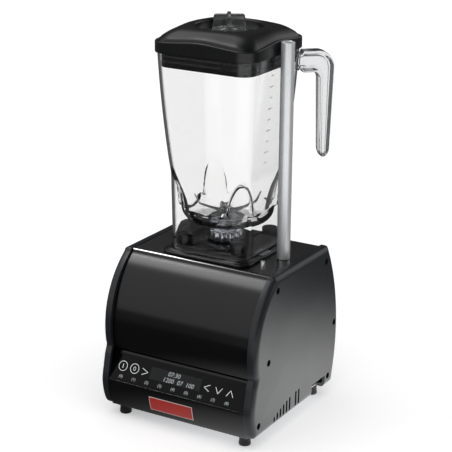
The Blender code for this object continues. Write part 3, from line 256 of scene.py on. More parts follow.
# powder-coated sheet steel: near black, satin, a faint orange peel about 1.5 mm across
powderCoat, tree, shader = startMaterial("powderCoatedSteel", {
    "Base Color": srgb("#0b0b0b"), "Roughness": 0.20, "IOR": 1.5})
place = addNode(tree, "ShaderNodeTexCoord")
peel = addNode(tree, "ShaderNodeTexNoise", {"Scale": 1 / (1.5 * mm), "Detail": 2.0},
               {"Vector": place.outputs["Object"]})
lift = addNode(tree, "ShaderNodeBump", {"Strength": 0.05, "Distance": 0.05 * mm}, {"Height": peel.outputs["Fac"]})
dull = addNode(tree, "ShaderNodeMapRange", {"To Min": 0.13, "To Max": 0.19}, {"Value": peel.outputs["Fac"]})
tree.links.new(lift.outputs["Normal"], shader.inputs["Normal"])
tree.links.new(dull.outputs["Result"], shader.inputs["Roughness"])

# moulded ABS: dark grey, spark-eroded grain 0.6 mm across, drawn coarser than the real 0.2 mm so that it shows
mouldedAbs, tree, shader = startMaterial("mouldedAbs", {
    "Base Color": srgb("#181b1f"), "Roughness": 0.34, "IOR": 1.53})
place = addNode(tree, "ShaderNodeTexCoord")
grain = addNode(tree, "ShaderNodeTexNoise", {"Scale": 1 / (0.6 * mm), "Detail": 3.0, "Roughness": 0.6},
                {"Vector": place.outputs["Object"]})
cloud = addNode(tree, "ShaderNodeTexNoise", {"Scale": 1 / (30 * mm), "Detail": 2.0},
                {"Vector": place.outputs["Object"]})
lift = addNode(tree, "ShaderNodeBump", {"Strength": 0.10, "Distance": 0.05 * mm}, {"Height": grain.outputs["Fac"]})
dull = addNode(tree, "ShaderNodeMapRange", {"To Min": 0.30, "To Max": 0.38}, {"Value": cloud.outputs["Fac"]})
tree.links.new(lift.outputs["Normal"], shader.inputs["Normal"])
tree.links.new(dull.outputs["Result"], shader.inputs["Roughness"])

# printed polyester overlay: glossy black film, a slight waviness 12 mm across
printedFilm, tree, shader = startMaterial("printedPolyester", {
    "Base Color": srgb("#060607"), "Roughness": 0.10, "IOR": 1.5, "Specular IOR Level": 0.18})
place = addNode(tree, "ShaderNodeTexCoord")
wave = addNode(tree, "ShaderNodeTexNoise", {"Scale": 1 / (12 * mm)}, {"Vector": place.outputs["Object"]})
lift = addNode(tree, "ShaderNodeBump", {"Strength": 0.03, "Distance": 0.2 * mm}, {"Height": wave.outputs["Fac"]})
tree.links.new(lift.outputs["Normal"], shader.inputs["Normal"])

# display window: smoked acrylic, the dot grid of the module behind it 0.6 mm apart
smokedAcrylic, tree, shader = startMaterial("smokedAcrylic", {"Roughness": 0.06, "IOR": 1.49,
                                                              "Specular IOR Level": 0.3})
place = addNode(tree, "ShaderNodeTexCoord")
dots = addNode(tree, "ShaderNodeTexVoronoi", {"Scale": 1 / (0.6 * mm), "Randomness": 0.0},
               {"Vector": place.outputs["Object"]})
tint = addNode(tree, "ShaderNodeValToRGB", None, {"Fac": dots.outputs["Distance"]})
tint.color_ramp.elements[0].color = srgb("#16181a")
tint.color_ramp.elements[1].color = srgb("#0d0e0f")
tree.links.new(tint.outputs["Color"], shader.inputs["Base Color"])

# screen ink: white, matt, its edge a touch uneven every 0.3 mm; its faint glow is painted light, the ink being no
# lamp
screenInk, tree, shader = startMaterial("screenInk", {"Roughness": 0.5, "Emission Strength": 0.25,
                                                       "Emission Color": srgb("#e8eaea")})
place = addNode(tree, "ShaderNodeTexCoord")
speck = addNode(tree, "ShaderNodeTexNoise", {"Scale": 1 / (0.3 * mm)}, {"Vector": place.outputs["Object"]})
tint = addNode(tree, "ShaderNodeValToRGB", None, {"Fac": speck.outputs["Fac"]})
tint.color_ramp.elements[0].color = srgb("#c4c8c9")
tint.color_ramp.elements[1].color = srgb("#f2f4f4")
tree.links.new(tint.outputs["Color"], shader.inputs["Base Color"])

# display figures: a pale lit dot matrix
litFigures, tree, shader = startMaterial("litFigures", {
    "Roughness": 0.4, "Emission Strength": 0.22, "Emission Color": srgb("#c9d2d4")})
place = addNode(tree, "ShaderNodeTexCoord")
dots = addNode(tree, "ShaderNodeTexVoronoi", {"Scale": 1 / (0.35 * mm), "Randomness": 0.0},
               {"Vector": place.outputs["Object"]})
tint = addNode(tree, "ShaderNodeValToRGB", None, {"Fac": dots.outputs["Distance"]})
tint.color_ramp.elements[0].color = srgb("#b9c0c2")
tint.color_ramp.elements[1].color = srgb("#5d6365")
tree.links.new(tint.outputs["Color"], shader.inputs["Base Color"])


def rubberLike(name, code, low, high, grit):
    # soft moulded rubber: dark and satin, with a bloom that varies over a few centimetres
    material, tree, shader = startMaterial(name, {"Base Color": srgb(code), "IOR": 1.5})
    place = addNode(tree, "ShaderNodeTexCoord")
    bloom = addNode(tree, "ShaderNodeTexNoise", {"Scale": 1 / (25 * mm), "Detail": 3.0},
                    {"Vector": place.outputs["Object"]})
    skinGrain = addNode(tree, "ShaderNodeTexNoise", {"Scale": 1 / grit}, {"Vector": place.outputs["Object"]})
    dull = addNode(tree, "ShaderNodeMapRange", {"To Min": low, "To Max": high}, {"Value": bloom.outputs["Fac"]})
    lift = addNode(tree, "ShaderNodeBump", {"Strength": 0.08, "Distance": 0.05 * mm},
                   {"Height": skinGrain.outputs["Fac"]})
    tree.links.new(dull.outputs["Result"], shader.inputs["Roughness"])
    tree.links.new(lift.outputs["Normal"], shader.inputs["Normal"])
    return material


softElastomer = rubberLike("softElastomer", "#07080a", 0.24, 0.32, 0.5 * mm)     # the lid
mouldedRubber = rubberLike("mouldedRubber", "#090a0b", 0.20, 0.30, 0.6 * mm)     # the jug's seat
footRubber = rubberLike("footRubber", "#0d0d0e", 0.5, 0.65, 0.8 * mm)            # feet and gland


def metalLike(name, code, low, high, stretch, strength, metallic=1.0):
    # bare or plated metal: drawn, turned or ground lines along one way, a few tenths of a millimetre apart
    material, tree, shader = startMaterial(name, {"Base Color": srgb(code), "Metallic": metallic})
    place = addNode(tree, "ShaderNodeTexCoord")
    along = addNode(tree, "ShaderNodeMapping", {"Scale": stretch}, {"Vector": place.outputs["Object"]})
    lines = addNode(tree, "ShaderNodeTexNoise", {"Scale": 1 / (0.4 * mm), "Detail": 2.0},
                    {"Vector": along.outputs["Vector"]})
    dull = addNode(tree, "ShaderNodeMapRange", {"To Min": low, "To Max": high}, {"Value": lines.outputs["Fac"]})
    lift = addNode(tree, "ShaderNodeBump", {"Strength": strength, "Distance": 0.02 * mm},
                   {"Height": lines.outputs["Fac"]})
    tree.links.new(dull.outputs["Result"], shader.inputs["Roughness"])
    tree.links.new(lift.outputs["Normal"], shader.inputs["Normal"])
    return material


anodisedTube = metalLike("anodisedAluminium", "#e4e6e8", 0.22, 0.30, (1, 1, 0.01), 0.12, 0.65)
polishedStainless = metalLike("polishedStainless", "#c9cacc", 0.10, 0.20, (1, 1, 1), 0.05, 0.8)
brightNickel = metalLike("brightNickel", "#b4b7bd", 0.05, 0.10, (1, 1, 0.1), 0.03)
zincPlate = metalLike("zincPlatedSteel", "#a9adb2", 0.32, 0.45, (1, 1, 1), 0.1)
blackSteel = metalLike("blackOxideSteel", "#1b1b1c", 0.35, 0.5, (1, 1, 1), 0.1)
castAlloy = metalLike("dieCastAluminium", "#9a9c9f", 0.45, 0.6, (0.3, 0.3, 0.3), 0.25)
stackedSteel = metalLike("laminatedSteel", "#5f6063", 0.4, 0.55, (0.02, 0.02, 2.0), 0.4)
wireCopper = metalLike("enamelledCopper", "#b0643a", 0.25, 0.4, (0.1, 0.1, 1.0), 0.4)


def plasticLike(name, code, roughness, grit):
    # plain moulded or pressed parts inside, with a light texture
    material, tree, shader = startMaterial(name, {"Base Color": srgb(code), "IOR": 1.5})
    place = addNode(tree, "ShaderNodeTexCoord")
    grain = addNode(tree, "ShaderNodeTexNoise", {"Scale": 1 / grit}, {"Vector": place.outputs["Object"]})
    dull = addNode(tree, "ShaderNodeMapRange", {"To Min": roughness - 0.06, "To Max": roughness + 0.06},
                   {"Value": grain.outputs["Fac"]})
    tree.links.new(dull.outputs["Result"], shader.inputs["Roughness"])
    return material


mouldedNylon = plasticLike("mouldedNylon", "#17181a", 0.4, 0.8 * mm)
pressedCarbon = plasticLike("pressedCarbon", "#2a2a2a", 0.7, 0.3 * mm)
boardLacquer = plasticLike("solderResist", "#1d5a34", 0.4, 0.5 * mm)
redEnamel = plasticLike("redEnamel", "#9c2019", 0.30, 0.5 * mm)
paleBorder = plasticLike("paleEnamel", "#c9b9b4", 0.35, 3 * mm)


def clearPlastic(name, faceOn, paintedEdgeShade, roughness, clarity):
    # clear copolyester, index 1.57: flow ripples 40 mm long from the moulding; its base colour is painted greyer
    # where it is seen edge on, a painted shade for the dark surroundings its edges refract, and it greys through its
    # thickness (absorption is per metre); its own reflections are held back to keep it clear
    material, tree, shader = startMaterial(name, {"Transmission Weight": clarity, "IOR": 1.57,
                                                  "Roughness": roughness, "Specular Tint": srgb("#b0b2b4")})
    place = addNode(tree, "ShaderNodeTexCoord")
    flow = addNode(tree, "ShaderNodeTexNoise", {"Scale": 1 / (40 * mm), "Detail": 1.0},
                   {"Vector": place.outputs["Object"]})
    lift = addNode(tree, "ShaderNodeBump", {"Strength": 0.12, "Distance": 0.4 * mm},
                   {"Height": flow.outputs["Fac"]})
    tree.links.new(lift.outputs["Normal"], shader.inputs["Normal"])
    # the base colour darkens towards the second colour where the surface is seen edge on: painted shade at the
    # edges, not a tint of the plastic
    rim = addNode(tree, "ShaderNodeLayerWeight", {"Blend": 0.5})
    edge = addNode(tree, "ShaderNodeValToRGB", None, {"Fac": rim.outputs["Facing"]})
    edge.color_ramp.elements[0].position, edge.color_ramp.elements[1].position = 0.50, 0.88
    edge.color_ramp.elements[0].color, edge.color_ramp.elements[1].color = srgb(faceOn), srgb(paintedEdgeShade)
    tree.links.new(edge.outputs["Color"], shader.inputs["Base Color"])
    depth = addNode(tree, "ShaderNodeVolumeAbsorption", {"Color": srgb("#3c4144"), "Density": 12.0})
    tree.links.new(depth.outputs["Volume"], tree.nodes["Material Output"].inputs["Volume"])
    return material


clearCopolyester = clearPlastic("clearCopolyester", "#ffffff", "#2b3033", 0.0, 1.0)
clearGrip = clearPlastic("clearGrip", "#f3f4f5", "#75797c", 0.03, 0.97)
clearStopper = clearPlastic("clearStopper", "#fafbfb", "#54595c", 0.02, 0.96)
print("materials made")


# the base's folded sheets: deck and front in one, the lower front, the rear panel
sheet = {"halfWidth": 95 * mm, "thickness": 1.2 * mm, "deck": deckTop, "bendRadius": 3.8 * mm,
         "frontRadius": 106 * mm, "frontNose": 108.5 * mm, "frontNoseHeight": 116 * mm, "frontFoot": 86.3 * mm,
         "lip": 8 * mm, "lipDrop": 1.8 * mm, "rearRadius": 230.5 * mm, "rearNose": 95 * mm,
         "rearNoseHeight": 88 * mm, "rearSplit": 186 * mm}
panel = {"top": (-103.3 * mm, 81.9 * mm), "bottom": (-121.5 * mm, 50.7 * mm), "lowerRadius": 75 * mm,
         "foot": 14 * mm, "ledge": 1.3 * mm}


def bulge(nose, noseHeight, radius, side, heights):
    # an upright arc: reach = nose - R + sqrt(R^2 - (z - noseHeight)^2)
    heights = np.asarray(heights, float)
    reach = nose - radius + np.sqrt(radius ** 2 - (heights - noseHeight) ** 2)
    return np.stack([side * reach, heights], axis=-1)


def sidePath(path, thickness):
    # offset of a path to its left by its mean normals, and the closed strip between the two
    path = np.asarray(path, float)
    step = np.gradient(path, axis=0)
    step /= np.linalg.norm(step, axis=1)[:, None]
    inner = path + np.stack([-step[:, 1], step[:, 0]], axis=-1) * thickness
    return np.vstack([path, inner[::-1]])


def extrude(outline, low, high, rows=2):
    # an outline of y and z carried along x
    outline = np.asarray(outline, float)
    x = np.linspace(low, high, rows)[:, None]
    shape = (rows, len(outline))
    grid = np.stack([np.broadcast_to(x, shape), np.broadcast_to(outline[:, 0], shape),
                     np.broadcast_to(outline[:, 1], shape)], axis=-1)
    return grid


def extruded(outline, low, high, stripRows=None):
    # the same with its two ends closed; a strip's ends are closed by quads across its thickness
    grid = extrude(outline, low, high)
    points, faces = skin(grid, closeColumns=True)
    count = len(outline)
    half = count // 2
    near = np.arange(half - 1)
    for row in (0, 1):
        start = row * count
        across = np.stack([start + near, start + near + 1, start + count - 2 - near, start + count - 1 - near],
                          axis=-1)
        faces += across.tolist()
    return points, faces


def wrapPath():
    # side view of the deck sheet: rear arc, bend, flat deck, bend, front arc and a lip folded in
    s = sheet
    rear = bulge(s["rearNose"], s["rearNoseHeight"], s["rearRadius"], 1,
                 np.linspace(s["rearSplit"], s["deck"] - s["bendRadius"], 6))
    front = bulge(s["frontNose"], s["frontNoseHeight"], s["frontRadius"], -1,
                  np.linspace(s["deck"] - s["bendRadius"], s["frontFoot"], 60))
    backCorner = [rear[-1][0] - 0.0011, s["deck"]]
    frontCorner = [front[0][0] + 0.0024, s["deck"]]
    deck = filletPath([rear[-1], backCorner, frontCorner, front[0]], [0, 0.0030, 0.0040, 0], 9)
    lip = [front[-1][0] + s["lip"], s["frontFoot"] - s["lipDrop"]]
    fold = filletPath([front[-2], front[-1], lip], [0, 0.0012, 0], 6)
    return np.vstack([rear[:-1], deck[1:-1], front[:-2], fold])


wrapSheet = addPiece("wrapSheet", extruded(sidePath(wrapPath(), sheet["thickness"]), -sheet["halfWidth"],
                                           sheet["halfWidth"]),
                     powderCoat, "base", ["housing_wrap"], sharp=50)
postLow, postHigh = boxOf("sensor_post")
postX = (postLow[0] + postHigh[0]) / 2
postRadius = (postHigh[0] - postLow[0]) / 2
pinLow, pinHigh = boxOf("interlock_pin")
pinX, pinY = (pinLow[0] + pinHigh[0]) / 2, (pinLow[1] + pinHigh[1]) / 2 - axisY


def rod(radius, low, high, place=(0, 0), steps=48):
    # a plain round bar used only to cut with
    angle = np.linspace(0, 2 * math.pi, steps, endpoint=False)
    grid = ringGrid(np.full((2, 1), radius), np.array([[low], [high]]), angle)
    return moved(skin(grid, capStart=True, capEnd=True), (*place, 0))


for radius, where in ((11 * mm, (0, 0)), (6.1 * mm, (postX, 0)), (3.2 * mm, (pinX, pinY))):
    carve(wrapSheet, rod(radius, deckTop - 0.01, deckTop + 0.01, where), sharp=50)


def panelPlane():
    # the panel's slope: its middle, the way down it, its outward normal and its length
    top, bottom = np.array(panel["top"]), np.array(panel["bottom"])      # y and z of the slope's two ends
    down = (bottom - top) / np.linalg.norm(bottom - top)
    return (top + bottom) / 2, down, np.array([down[1], -down[0]]), np.linalg.norm(bottom - top)


def lowerPath():
    # side view of the lower sheet: back flange, slope set back by the ledge, lower arc, foot turned in
    middle, down, outward, length = panelPlane()
    back = wrapPath()[-1][0] + 0.0018
    floor = sheet["frontFoot"] - sheet["lipDrop"] - 0.0012
    behind = middle - outward * panel["ledge"]
    start = behind - down * (length / 2)
    start = start + down * (start[1] - floor) / abs(down[1])
    end = behind + down * (length / 2 - 0.0004)
    curve = bulge(-panel["bottom"][0], panel["bottom"][1] - 0.001, panel["lowerRadius"], -1,
                  np.linspace(panel["bottom"][1] - 0.0012, panel["foot"], 40))
    turnIn = [curve[-1][0] + 0.005, panel["foot"]]
    corner = np.array([curve[0][0] + 0.0002, curve[0][1] + 0.0018])
    upper = filletPath([[back, floor + 0.007], [back, floor], start, end, corner, curve[0]],
                       [0, 0.001, 0.001, 0.0003, 0.0016, 0], 10)
    return np.vstack([upper[:-1], filletPath(np.vstack([curve[:-1:3], curve[-1:], [turnIn]]), 0.002, 4)])


lowerSheet = addPiece("lowerSheet", extruded(sidePath(lowerPath(), sheet["thickness"]), -sheet["halfWidth"],
                                             sheet["halfWidth"]),
                      powderCoat, "base", ["lower_front"], sharp=50)
rearPath = bulge(sheet["rearNose"], sheet["rearNoseHeight"], sheet["rearRadius"], 1,
                 np.linspace(15.5 * mm, sheet["rearSplit"] - 0.0003, 50))
rearSheet = addPiece("rearSheet", extruded(sidePath(rearPath, sheet["thickness"]), -sheet["halfWidth"],
                                           sheet["halfWidth"]),
                     powderCoat, "base", ["rear_panel"], sharp=50)
for row in range(6):
    carve(rearSheet, block((0.100, 0.03, 0.0035), (0, sheet["rearNose"], 0.120 + 0.009 * row), 0.0016), sharp=50)
print("folded sheets made")

# side covers
cover = {"inner": 95.3 * mm, "face": 108 * mm, "wall": 5.4 * mm, "rounding": 8.5 * mm, "crown": 0.9 * mm,
         "rimNose": 114.7 * mm, "rimRadius": 107 * mm, "rimNoseHeight": 114 * mm, "rimNotch": 91.3 * mm,
         "rimFront": 122.1 * mm, "rimRear": 98.5 * mm, "rearRadius": 234 * mm, "bottom": 15.5 * mm,
         "top": 204.4 * mm, "seatRadius": 4.1 * mm, "seatDepth": 5.9 * mm, "seatProud": 3 * mm,
         "recess": (40 * mm, 36 * mm, 32 * mm), "recessAt": (47.5 * mm, 16 * mm),
         "slotWide": 3.7 * mm, "slotPitch": 7.7 * mm, "slotFirst": -67 * mm, "slotFoot": 21 * mm,
         "slotLow": 3.5 * mm, "slotRise": 16.5 * mm,
         "screws": ((-64.3, 187.5), (-83.9, 103.6), (-105.2, 31.0), (60.0, 186.0), (86.5, 97.6), (73.0, 29.0))}


def coverOutline(count):
    # the rim as y and z: straight top, bulging front, notch, cheek, lower curve, bottom and rear arc,
    # filleted and then resampled evenly
    c = cover
    front = bulge(c["rimNose"], c["rimNoseHeight"], c["rimRadius"], -1,
                  np.linspace(c["top"] - 0.0035, c["rimNotch"] + 0.003, 40))
    notch = [[front[-1][0] + 0.0016, c["rimNotch"]]]
    cheek = [[-c["rimFront"] + 0.0068, c["rimNotch"] - 0.0095], [-c["rimFront"] + 0.0012, 57.7 * mm]]
    lower = bulge(c["rimFront"], 49.7 * mm, 75 * mm, -1, np.linspace(49.7 * mm, c["bottom"] + 0.005, 16))
    rear = bulge(c["rimRear"], sheet["rearNoseHeight"], c["rearRadius"], 1,
                 np.linspace(c["bottom"] + 0.010, c["top"] - 0.0035, 40))
    points = np.vstack([[[rear[-1][0] - 0.001, c["top"]], [front[0][0] + 0.0015, c["top"]]], front, notch, cheek,
                        lower, [[lower[-1][0] + 0.0035, c["bottom"]]], [[rear[0][0] - 0.002, c["bottom"]]], rear])
    radius = np.full(len(points), 0.002)
    radius[[0, 1]] = 0.0045
    radius[len(front) + 2] = 0.004
    radius[len(front) + 3] = 0.010
    radius[len(front) + 4] = 0.008
    bottomAt = len(front) + 5 + len(lower)
    radius[[bottomAt, bottomAt + 1]] = 0.006
    path = filletPath(points, radius, 7, closed=True)
    loop = np.vstack([path, path[:1]])
    distance = np.r_[0, np.cumsum(np.linalg.norm(np.diff(loop, axis=0), axis=1))]
    even = np.linspace(0, distance[-1], count, endpoint=False)
    return np.stack([np.interp(even, distance, loop[:, k]) for k in (0, 1)], axis=-1)


def coverShape(side):
    # rings drawn in towards the middle; each point's x falls away near the rim by the quarter-round
    # w (1 - sqrt(1 - (1 - d / rounding)^2)), d being its distance to the rim
    c = cover
    rim = coverOutline(360)
    middle = np.array([-0.008, 0.105])
    inward = np.r_[0, np.linspace(0.004, 0.14, 26), np.linspace(0.19, 0.97, 14)]
    spread = middle + (rim - middle) * (1 - inward[:, None, None])
    flat = spread.reshape(-1, 2)
    distance = np.concatenate([np.linalg.norm(part[:, None] - rim[None], axis=2).min(1)
                               for part in np.array_split(flat, 24)]).reshape(spread.shape[:2])
    t = np.clip(1 - distance / c["rounding"], 0, 1)
    depth = c["face"] - c["inner"] - c["wall"] - c["crown"]
    dome = c["crown"] * (1 - smoothStep(0.0, 0.075, distance))
    x = c["face"] - dome - depth * (1 - np.sqrt(1 - t ** 2))
    front = np.concatenate([x[..., None], spread], axis=-1)
    edge = np.stack([np.full(len(rim), c["inner"]), rim[:, 0], rim[:, 1]], axis=-1)
    lipIn = middle + (rim - middle) * 0.955
    inner = np.stack([np.full(len(rim), c["inner"]), lipIn[:, 0], lipIn[:, 1]], axis=-1)
    hollow = np.stack([np.full(len(rim), c["face"] - 0.0048), lipIn[:, 0] * 0.985,
                       middle[1] + (lipIn[:, 1] - middle[1]) * 0.985], axis=-1)
    grid = np.concatenate([hollow[None], inner[None], edge[None], front], axis=0)
    grid = grid * np.array([side, 1, 1])
    return skin(grid, capStart=True, capEnd=True)


def sideways(shape, x):
    # a shape made up Z, laid along x on one side
    points = shape[0]
    turned = np.stack([points[:, 2], points[:, 0], points[:, 1]], axis=-1)
    return turned + np.array([x, 0, 0]), shape[1]


def ventSlots(side):
    # upright slots whose tops follow a quarter sine
    c = cover
    k = np.array([0, 1, 2, 3, 4, 5, 7, 8])                   # the seventh place is left solid
    height = c["slotLow"] + c["slotRise"] * np.sin(math.pi / 2 * (k + 1) / 9)
    y = c["slotFirst"] + c["slotPitch"] * k
    return [block((0.030, c["slotWide"], h), (side * 0.101, yy, c["slotFoot"] + h / 2), 0.0012)
            for h, yy in zip(height, y)]


for name, side in (("left", -1), ("right", 1)):
    piece = addPiece("sideCover" + name.capitalize(), coverShape(side), mouldedAbs, "base", ["side_cover_" + name],
                     sharp=40)
    depths = sorted((-side * cover["seatDepth"], side * cover["seatProud"]))
    for y, z in cover["screws"]:
        seatHole = sideways(rod(cover["seatRadius"], *depths), side * cover["face"])
        carve(piece, moved(seatHole, (0, y * mm, z * mm)), sharp=40)
    for slot in ventSlots(side):
        carve(piece, slot, sharp=40)
    carve(piece, block(cover["recess"], (side * cover["face"], *cover["recessAt"]), 0.002), sharp=40)

    # screws: pan heads with a cross recess, sunk in their seats
    low, high = boxOf(f"side_screw_{name}_1")
    headX = (high[0] if side > 0 else -low[0])
    heads = []
    for y, z in cover["screws"]:
        profile = filletPath([(0.0001, 0), (0.0029, 0), (0.0036, -0.0011), (0.0036, -0.0024), (0.0019, -0.0024),
                              (0.0019, -0.015), (0.0001, -0.015)], [0, .0008, .0008, 0.0002, 0, 0, 0], 5)
        points, faces = turn(profile, 24, closed=False)
        heads.append(moved(sideways((points * np.array([1, 1, side]), faces), side * headX), (0, y * mm, z * mm)))
    screws = addPiece("sideScrews" + name.capitalize(), joined(heads), blackSteel, "base",
                      [f"side_screw_{name}_{k}" for k in range(1, 7)])
    for y, z in cover["screws"]:
        for w, h in ((0.0042, 0.0010), (0.0010, 0.0042)):
            carve(screws, block((0.0024, w, h), (side * headX, y * mm, z * mm), 0.0002))
print("side covers made")

# feet: turned rubber with a waist and a hollow sole
foot = {"radius": 7.5 * mm, "waist": 6.9 * mm}
for name in ("front_left", "front_right", "back_right", "back_left"):
    low, high = boxOf("foot_" + name)
    centre = (low + high) / 2
    r, w = foot["radius"], foot["waist"]
    profile = filletPath([(0.0001, 0.0012), (r - 0.0028, 0.0012), (r - 0.0024, 0), (r - 0.0004, 0), (r, 0.0022),
                          (w, 0.0060), (w, 0.0105), (r, 0.0128), (r, 0.0149), (0.0028, 0.0149), (0.0028, 0.0200),
                          (0.0001, 0.0200)],
                         [0, .0003, .0004, .0008, .0006, .002, .002, .0008, .0004, 0, .0006, 0], 5)
    addPiece("foot" + name.title().replace("_", ""), moved(turn(profile, 48, closed=False),
                                                           (centre[0], centre[1], 0)),
             footRubber, "base", ["foot_" + name], aboutAxis=False)

# mains gland: a ribbed collar on the rear panel
low, high = boxOf("cord_gland")
glandX, glandZ = (low[0] + high[0]) / 2, 45 * mm
slope = math.asin((glandZ - sheet["rearNoseHeight"]) / sheet["rearRadius"])
reach = sheet["rearNose"] - sheet["rearRadius"] + math.sqrt(
    sheet["rearRadius"] ** 2 - (glandZ - sheet["rearNoseHeight"]) ** 2)
profile = filletPath([(0.0034, 0.0030), (0.0052, 0.0030), (0.0056, 0.0024), (0.0070, 0.0024), (0.0074, 0.0030),
                      (0.0082, 0.0030), (0.0100, 0.0012), (0.0100, 0.0003), (0.0060, 0.0003), (0.0060, -0.010),
                      (0.0034, -0.010)], 0.0003, 4, closed=True)
points, faces = turn(profile, 48)
tilt = np.array(Matrix.Rotation(slope - math.pi / 2, 3, "X"))
addPiece("cordGland", (points @ tilt.T + np.array([glandX, reach, glandZ]), faces), footRubber, "base",
         ["cord_gland"])

# a thin pale round wire along the panel's foot, bedded in the nose of the ledge: a painted highlight standing for
# the light caught by the bend there
highlightWire = {"radius": 0.8 * mm, "rise": 0.6 * mm, "halfLength": 94.6 * mm, "foremost": -118 * mm}
# near-white enamel for the wire: painted highlight, not the sheet's own colour
highlightWirePaint = plasticLike("highlightWirePaint", "#f4f5f6", 0.3, 0.5 * mm)
ledgeLine = lowerPath()
nose = ledgeLine[np.argmin(abs(ledgeLine[:, 1] - panel["bottom"][1]) + (ledgeLine[:, 0] > highlightWire["foremost"]))]
wireAngle = np.linspace(0, 2 * math.pi, 20, endpoint=False)
wireRing = np.stack([nose[0] + highlightWire["radius"] * np.cos(wireAngle),
                     nose[1] + highlightWire["rise"] + highlightWire["radius"] * np.sin(wireAngle)], axis=-1)
highlightWirePiece = addPiece("panelSill", skin(extrude(wireRing, -highlightWire["halfLength"], highlightWire["halfLength"]),
                                       capStart=True, capEnd=True),
                     highlightWirePaint, "base")

# touch panel: a film on the slope, the smoked window, printed marks and lit figures
marks = {"ring": 5.9 * mm, "stroke": 0.62 * mm, "rise": 0.12 * mm, "film": (190 * mm, 1.0 * mm), "filmGap": 1.2 * mm,
         "window": (71.6 * mm, 14.8 * mm, 0.4 * mm), "windowAt": (-4.1 * mm, 1.5 * mm, 0), "figure": 7.8 * mm,
         "label": 5.0 * mm, "labelFirst": -79.1 * mm, "labelPitch": 18.73 * mm, "labelRow": -11.2 * mm,
         "start": (-79.6 * mm, 1.7 * mm), "stop": (-62.8 * mm, 1.7 * mm)}


def onPanel(shape, lift):
    # local x and y laid along the panel's width and up its slope
    middle, down, outward, _ = panelPlane()
    points, faces = shape
    side = points[:, :1] * np.array([1, 0, 0])
    up = points[:, 1:2] * np.array([0, -down[0], -down[1]])
    out = (points[:, 2:3] + lift) * np.array([0, outward[0], outward[1]])
    return side + up + out + np.array([0, middle[0], middle[1]]), faces


_, _, _, panelLength = panelPlane()
filmWide, filmThick = marks["film"]
film = block((filmWide, panelLength - marks["filmGap"], filmThick), (0, 0, 0), 0.0004)
addPiece("panelFilm", onPanel(film, -filmThick / 2), printedFilm, "base", ["control_overlay"])
window = block(marks["window"], marks["windowAt"], 0.0002)
addPiece("displayWindow", onPanel(window, 0.0), smokedAcrylic, "base", ["display_module"])


def stroke(path, width, high):
    # a flat pen line: a path widened by its normals and given a little height
    path = np.asarray(path, float)
    step = np.gradient(path, axis=0)
    step /= np.linalg.norm(step, axis=1)[:, None]
    side = np.stack([-step[:, 1], step[:, 0]], axis=-1) * width / 2
    flat = [path + side, path - side]
    rows = [np.c_[flat[0], np.zeros(len(path))], np.c_[flat[0], np.full(len(path), high)],
            np.c_[flat[1], np.full(len(path), high)], np.c_[flat[1], np.zeros(len(path))]]
    return skin(np.stack(rows, axis=1), capStart=True, capEnd=True)


def ringLine(radius, centre, squash=1.0):
    # a flat ring of square section: four circles at radius +- half a stroke
    angle = np.linspace(0, 2 * math.pi, 64, endpoint=False)
    w = marks["stroke"] / 2
    corners = ((radius + w, 0), (radius + w, marks["rise"]), (radius - w, marks["rise"]), (radius - w, 0))
    grid = np.stack([np.stack([r * np.cos(angle) * squash, r * np.sin(angle), np.full(64, z)], axis=-1)
                     for r, z in corners])
    return moved(skin(grid, closeRows=True), (*centre, 0))


def figures(text, size, centre, lean=0.0):
    # plain figures as flat mesh
    curve = bpy.data.curves.new("figures", "FONT")
    curve.body, curve.size, curve.shear = text, size, lean
    curve.align_x, curve.align_y = "CENTER", "CENTER"
    curve.extrude = marks["rise"] / 2
    curve.resolution_u = 3
    holder = bpy.data.objects.new("figures", curve)
    bpy.context.scene.collection.objects.link(holder)
    bpy.context.view_layer.update()
    mesh = bpy.data.meshes.new_from_object(holder.evaluated_get(bpy.context.evaluated_depsgraph_get()))
    bpy.data.objects.remove(holder, do_unlink=True)
    points = np.empty(len(mesh.vertices) * 3)
    mesh.vertices.foreach_get("co", points)
    faces = [list(face.vertices) for face in mesh.polygons]
    return points.reshape(-1, 3) + np.array([*centre, marks["rise"] / 2]), faces


w, h = marks["stroke"], marks["rise"]
chevrons = (((-0.0520, 0.0047), (-0.0432, 0.0010), (-0.0515, -0.0032)),
            ((0.0437, 0.0050), (0.0362, 0.0010), (0.0437, -0.0030)),
            ((0.0515, 0.0044), (0.0560, -0.0030), (0.0605, 0.0044)),
            ((0.0675, -0.0030), (0.0722, 0.0044), (0.0768, -0.0030)))
startX, startY = marks["start"]
printedMarks = [ringLine(marks["ring"], marks["start"]), ringLine(marks["ring"], marks["stop"]),
                ringLine(0.0022, marks["stop"], 0.7),
                stroke([(startX, startY - 0.0025), (startX, startY + 0.0025)], w * 1.3, h)]
printedMarks += [stroke(filletPath(points, 0.0002, 3), w, h) for points in chevrons]
labels = [figures(f"({k})", marks["label"], (marks["labelFirst"] + marks["labelPitch"] * k, marks["labelRow"]), 0.1)
          for k in range(9)]
addPiece("panelMarks", onPanel(joined(printedMarks), 0.00002), screenInk, "base")
addPiece("panelLabels", onPanel(joined(labels), 0.00002), litFigures, "base")
lines = [figures("07:30", marks["figure"], (-0.0070, 0.0052), 0.15),
         figures("1200  07  100", marks["figure"], (0.0010, -0.0024), 0.15)]
addPiece("displayFigures", onPanel(joined(lines), 0.00022), litFigures, "base")

# badge: a plain red enamelled plate that follows the lower front, with a thin pale border
badge = {"centre": (-5.5 * mm, 32.2 * mm), "size": (61 * mm, 18.5 * mm), "soft": 0.6 * mm, "arcMiddle": 49.7 * mm}


def onLower(x, z, lift):
    # a point on the lower front's arc, moved out along the arc's radius
    r = panel["lowerRadius"] + lift
    reach = -panel["bottom"][0] - panel["lowerRadius"]
    up = (z - badge["arcMiddle"]) / panel["lowerRadius"]
    return np.stack([x, -(reach + r * np.sqrt(1 - up ** 2)), badge["arcMiddle"] + r * up], axis=-1)


